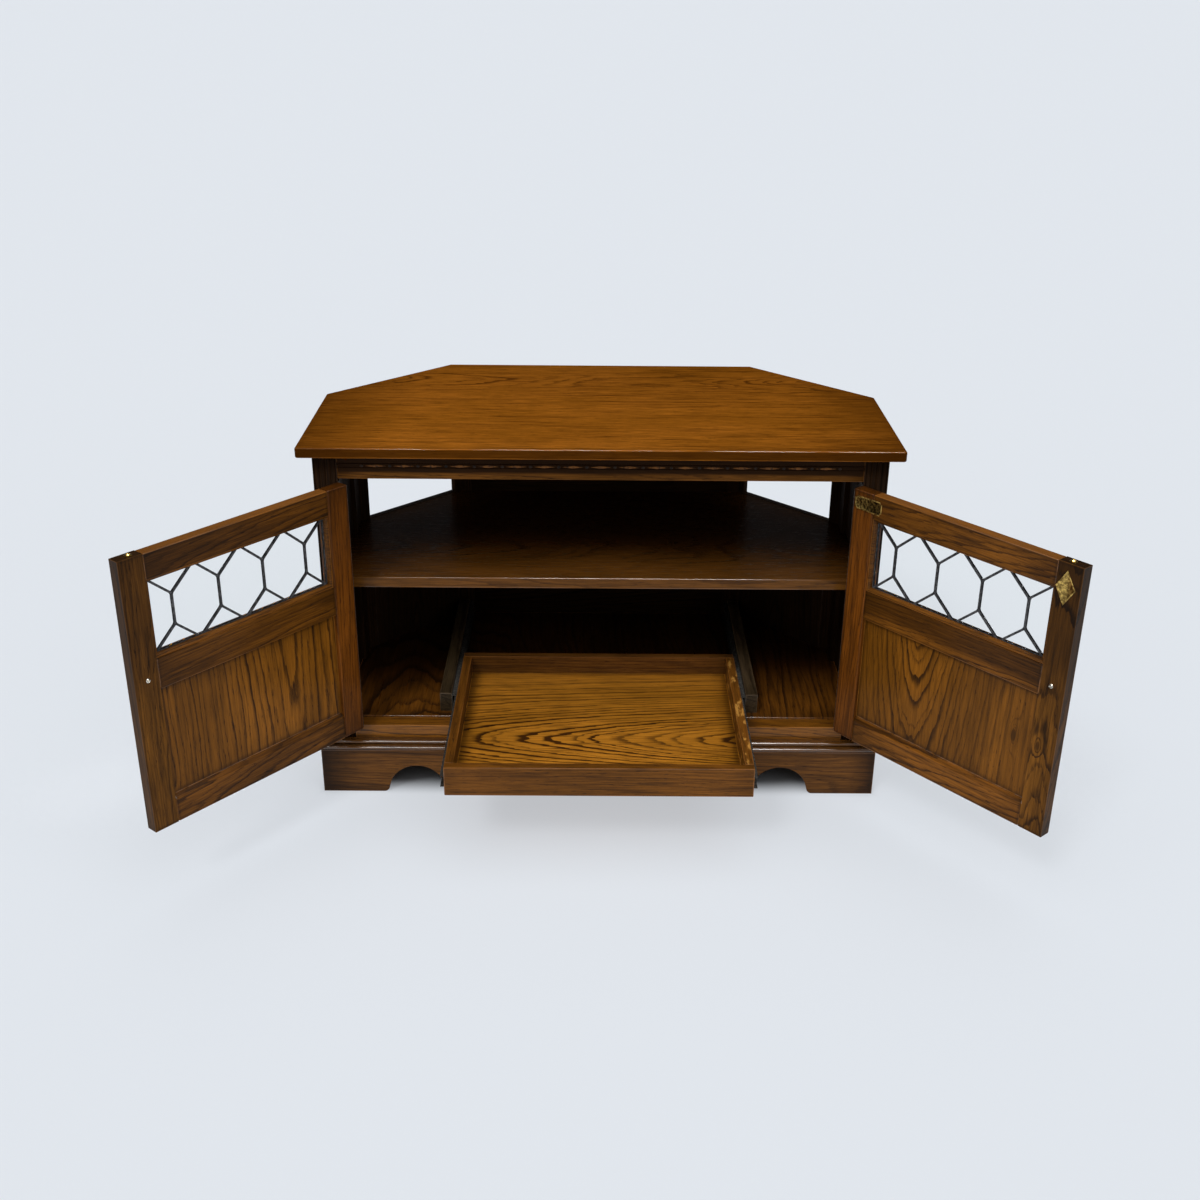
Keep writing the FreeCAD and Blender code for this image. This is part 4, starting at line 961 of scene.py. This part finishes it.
class CABINET_OT_fit_plates(bpy.types.Operator):
    """Fit the bare scalloped plate and the bare lozenge on the right door's inner face"""

    bl_idname = "cabinet.fit_plates"
    bl_label = "Fit the Bare Plates"

    def execute(self, context):
        sizes = context.scene.cabinet_fittings
        tones = context.scene.cabinet_metal
        brass = worn_metal("plate_brass", tones.brass_aged, tones.brass, 0.28, 1.0, 210.0)
        place = door_place(1, sizes.plate_reach, sizes.inner_face, sizes.plate_level, INWARD)
        outline = scalloped(sizes.plate_length / 2, sizes.plate_height / 2, sizes.plate_notch)
        plate = new_piece("scalloped_plate", lambda shape: bordered(shape, outline, sizes),
                          "right_door", place, brass)
        darkest = tuple(part * 0.12 for part in tones.brass_aged)
        rubbed = tuple(part * 0.45 for part in tones.brass)
        plate.data.materials.append(worn_metal("plate_field", darkest, rubbed, 0.34, 1.0, 260.0))
        plate.data.polygons[len(plate.data.polygons) - 1].material_index = 1
        half_x, half_y = sizes.lozenge_width / 2, sizes.lozenge_height / 2
        lozenge = [(-half_x, 0.0), (0.0, -half_y), (half_x, 0.0), (0.0, half_y)]
        place = door_place(1, sizes.lozenge_reach, sizes.inner_face, sizes.lozenge_level, INWARD)
        new_piece("lozenge_plate", lambda shape: bordered(shape, lozenge, sizes), "right_door",
                  place, brass)
        return {"FINISHED"}


# Straight pieces that make one hollow corner of the scalloped plate
NOTCH_STEPS = 6


def scalloped(half_x, half_y, notch):
    """Outline of a plate whose corners are cut by small hollow curves."""
    points = []
    for corner_x, corner_y, start in ((1, 1, 270.0), (-1, 1, 0.0), (-1, -1, 90.0), (1, -1, 180.0)):
        for step in range(NOTCH_STEPS + 1):
            turn = math.radians(start - 90.0 * step / NOTCH_STEPS)
            points.append((corner_x * half_x + notch * math.cos(turn),
                           corner_y * half_y + notch * math.sin(turn)))
    return points


def bordered(shape, outline, sizes):
    """A thin plate with a raised edge round a bare, slightly sunk field."""
    top = sizes.plate_thickness
    reach_x = max(abs(x) for x, y in outline)
    reach_y = max(abs(y) for x, y in outline)
    profile = ((0.0, -SINK), (0.0, top * 0.7), (0.25, top), (0.75, top), (1.0, top * 0.55))
    rings = []
    for border_share, height in profile:
        inset = sizes.border_width * border_share
        part_x, part_y = 1.0 - inset / reach_x, 1.0 - inset / reach_y
        rings.append([(x * part_x, y * part_y, height) for x, y in outline])
    loft(shape, rings)


# Points round a collar
COLLAR_POINTS = 32


class CABINET_OT_fit_collars(bpy.types.Operator):
    """Fit the brass collars round the spring catches on the doors' top edges"""

    bl_idname = "cabinet.fit_collars"
    bl_label = "Fit the Catch Collars"

    def execute(self, context):
        sizes = context.scene.cabinet_fittings
        tones = context.scene.cabinet_metal
        brass = worn_metal("collar_brass", tones.brass_aged, tones.brass, 0.26, 1.0, 320.0)

        def collar(shape):
            stand = sizes.collar_stand
            outer, bore = sizes.collar_radius, sizes.collar_bore
            profile = ((bore, -SINK), (outer, -SINK), (outer, stand * 0.6), (outer * 0.94, stand),
                       (bore * 1.05, stand), (bore, stand * 0.7))
            rings = [circle(radius, height, COLLAR_POINTS) for radius, height in profile]
            loft(shape, rings + rings[:1], capped=False)

        for word, side in SIDES:
            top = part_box(word + "_free_stile")[1][2]
            shut_place = Vector((-side * sizes.catch_reach, sizes.catch_depth, top))
            place = Matrix.Translation(door_turn(side).inverted() @ shut_place)
            new_piece(word + "_catch_collar", collar, word + "_door", place, brass)
        return {"FINISHED"}


class CABINET_OT_solder_lights(bpy.types.Operator):
    """Run the small soldered joints where the cames meet, on both faces of each light"""

    bl_idname = "cabinet.solder_lights"
    bl_label = "Solder the Lights"

    def execute(self, context):
        sizes = context.scene.cabinet_fittings
        tones = context.scene.cabinet_metal
        solder = worn_metal("solder", tones.lead, tones.solder, 0.42, 0.7, 700.0)
        for word, side in SIDES:
            for face, depth, way in (("outer", sizes.came_front, -1.0),
                                     ("inner", sizes.came_back, 1.0)):
                outward = (0.0, way, 0.0)
                place = door_place(side, sizes.light_reach, depth, sizes.light_level, outward)
                name = "%s_%s_solder" % (word, face)
                new_piece(name, self.joints, word + "_door", place, solder)
        return {"FINISHED"}

    def joints(self, shape):
        """Flat drops at both ends of the four uprights."""
        sizes = bpy.context.scene.cabinet_fittings
        for number in range(-3, 4, 2):
            for way in (-1, 1):
                middle = (number * sizes.came_pitch / 2, way * sizes.came_upright / 2)
                dome_at(shape, middle, sizes.solder_radius, sizes.solder_stand)


class CABINET_OT_set_stage(bpy.types.Operator):
    """Lay the pale floor, hang the soft lights and set the camera at the picture's viewing angle"""

    bl_idname = "cabinet.set_stage"
    bl_label = "Set the Stage"

    def execute(self, context):
        stage = context.scene.cabinet_stage
        self.lay_floor(stage)
        self.hang_lights(context.scene, stage)
        self.place_camera(context.scene, stage)
        context.scene.view_settings.view_transform = "Standard"
        return {"FINISHED"}

    def lay_floor(self, stage):
        """A wide pale disc under the plinth."""
        mesh = bpy.data.meshes.new("studio_floor")
        shape = bmesh.new()
        bmesh.ops.create_circle(shape, cap_ends=True, segments=FLOOR_SEGMENTS,
                                radius=stage.floor_radius)
        shape.to_mesh(mesh)
        shape.free()
        floor = bpy.data.objects.new("studio_floor", mesh)
        bpy.context.scene.collection.objects.link(floor)
        shader = Shader(bpy.data.materials.new("pale_floor"))
        place = shader.spot()
        mottle = shader.noise(place, 3.0, 2.0)
        paler, darker = stage.floor_tone, tuple(part * 0.96 for part in stage.floor_tone)
        colour = shader.blend(shader.spread(mottle, 0.0, 0.04), paler, darker)
        split = shader.node("SeparateXYZ", {"Vector": place})
        aside = shader.sum("ABSOLUTE", split.outputs["X"])
        beside = shader.minus(aside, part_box("right_plinth")[1][0])
        before = shader.minus(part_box("front_plinth")[0][1], split.outputs["Y"])
        behind = shader.minus(split.outputs["Y"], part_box("back_plinth")[1][1])
        outside = shader.sum("MAXIMUM", beside, shader.sum("MAXIMUM", before, behind))
        glow = shader.ramp(outside, *GLOW_BAND)
        sockets = {"Base Color": colour, "Roughness": 0.85, "Specular IOR Level": 0.0,
                   "Emission Color": with_alpha(stage.floor_glow), "Emission Strength": glow}
        floor.data.materials.append(shader.finish(sockets))

    def hang_lights(self, scene, stage):
        """A surround pale at the horizon and dim overhead, with broad suns and one strip."""
        shader = Shader(bpy.data.worlds.new("pale_surround"))
        way = shader.node("TexCoord", {}).outputs["Generated"]
        split = shader.node("SeparateXYZ", {"Vector": way})
        sockets = {"Value": split.outputs["Z"], "From Min": stage.horizon_share,
                   "From Max": stage.horizon_share * HORIZON_SPREAD}
        dimmer = shader.node("MapRange", sockets).outputs[0]
        colour = shader.blend(dimmer, stage.horizon_tone, stage.ceiling_tone)
        surround = shader.node("Background", {"Color": colour}).outputs[0]
        shader.node("OutputWorld", {"Surface": surround})
        scene.world = shader.owner
        for name, place, spread, strength, glossy in SUNS:
            lamp = bpy.data.lights.new(name, "SUN")
            lamp.energy = stage.light_strength * strength
            lamp.angle = math.radians(spread)
            obj = bpy.data.objects.new(name, lamp)
            obj.visible_glossy = glossy
            obj.location = place
            obj.rotation_euler = (-Vector(place)).to_track_quat("-Z", "Y").to_euler()
            scene.collection.objects.link(obj)
        self.hang_strip(scene, stage)

    def hang_strip(self, scene, stage):
        """A long softbox above the camera that only glints on rounded, lacquered edges."""
        lamp = bpy.data.lights.new("strip_light", "AREA")
        lamp.shape = "RECTANGLE"
        lamp.size, lamp.size_y = STRIP_SIZE
        lamp.energy = stage.strip_power
        strip = bpy.data.objects.new("strip_light", lamp)
        strip.visible_diffuse = False
        strip.visible_camera = False
        strip.location = STRIP_PLACE
        strip.rotation_euler = (STRIP_TARGET - STRIP_PLACE).to_track_quat("-Z", "Y").to_euler()
        scene.collection.objects.link(strip)

    def place_camera(self, scene, stage):
        """The camera that the picture was taken with, as fitted to its straight edges."""
        yaw, pitch, roll = stage.camera_yaw, stage.camera_pitch, stage.camera_roll
        level = math.cos(pitch)
        forward = Vector((math.sin(yaw) * level, math.cos(yaw) * level, -math.sin(pitch)))
        right = Vector((math.cos(yaw), -math.sin(yaw), 0.0))
        down = forward.cross(right)
        across = math.cos(roll) * right + math.sin(roll) * down
        below = -math.sin(roll) * right + math.cos(roll) * down
        turned = Matrix((across, -below, -forward)).transposed().to_4x4()
        lens = bpy.data.cameras.new("picture_camera")
        lens.lens = stage.camera_lens
        lens.sensor_width = 36.0
        lens.clip_end = 500.0
        camera = bpy.data.objects.new("picture_camera", lens)
        place = Matrix.Translation((stage.camera_x, stage.camera_y, stage.camera_z))
        camera.matrix_world = place @ turned
        scene.collection.objects.link(camera)
        scene.camera = camera


STEPS = (
    CABINET_OT_finish_carcase,
    CABINET_OT_finish_tray,
    CABINET_OT_finish_doors,
    CABINET_OT_finish_leaded_lights,
    CABINET_OT_finish_metalwork,
    CABINET_OT_carve_frieze,
    CABINET_OT_fit_screws,
    CABINET_OT_fit_plates,
    CABINET_OT_fit_collars,
    CABINET_OT_solder_lights,
    CABINET_OT_set_stage,
)
SETTINGS = (
    ("cabinet_oak", CabinetOakSettings),
    ("cabinet_metal", CabinetMetalSettings),
    ("cabinet_fittings", CabinetFittingSettings),
    ("cabinet_stage", CabinetStageSettings),
)


class CABINET_PT_sidebar(bpy.types.Panel):
    """Lists the cabinet's steps and its settings"""

    bl_idname = "CABINET_PT_sidebar"
    bl_label = "Corner Cabinet"
    bl_space_type = "VIEW_3D"
    bl_region_type = "UI"
    bl_category = "Cabinet"

    def draw(self, context):
        for step in STEPS:
            self.layout.operator(step.bl_idname)
        for name, group in SETTINGS:
            box = self.layout.box()
            box.label(text=group.__name__)
            for field in group.__annotations__:
                box.prop(getattr(context.scene, name), field)


def register():
    """Adds the settings, steps and panel."""
    for name, group in SETTINGS:
        bpy.utils.register_class(group)
        setattr(bpy.types.Scene, name, PointerProperty(type=group))
    for made in (*STEPS, CABINET_PT_sidebar):
        bpy.utils.register_class(made)


def unregister():
    """Takes them away again."""
    for made in (CABINET_PT_sidebar, *reversed(STEPS)):
        bpy.utils.unregister_class(made)
    for name, group in reversed(SETTINGS):
        delattr(bpy.types.Scene, name)
        bpy.utils.unregister_class(group)


def main():
    """Dresses the cabinet."""
    register()
    for step in STEPS:
        group, call = step.bl_idname.split(".")
        getattr(getattr(bpy.ops, group), call)()


if __name__ == "__main__":
    main()
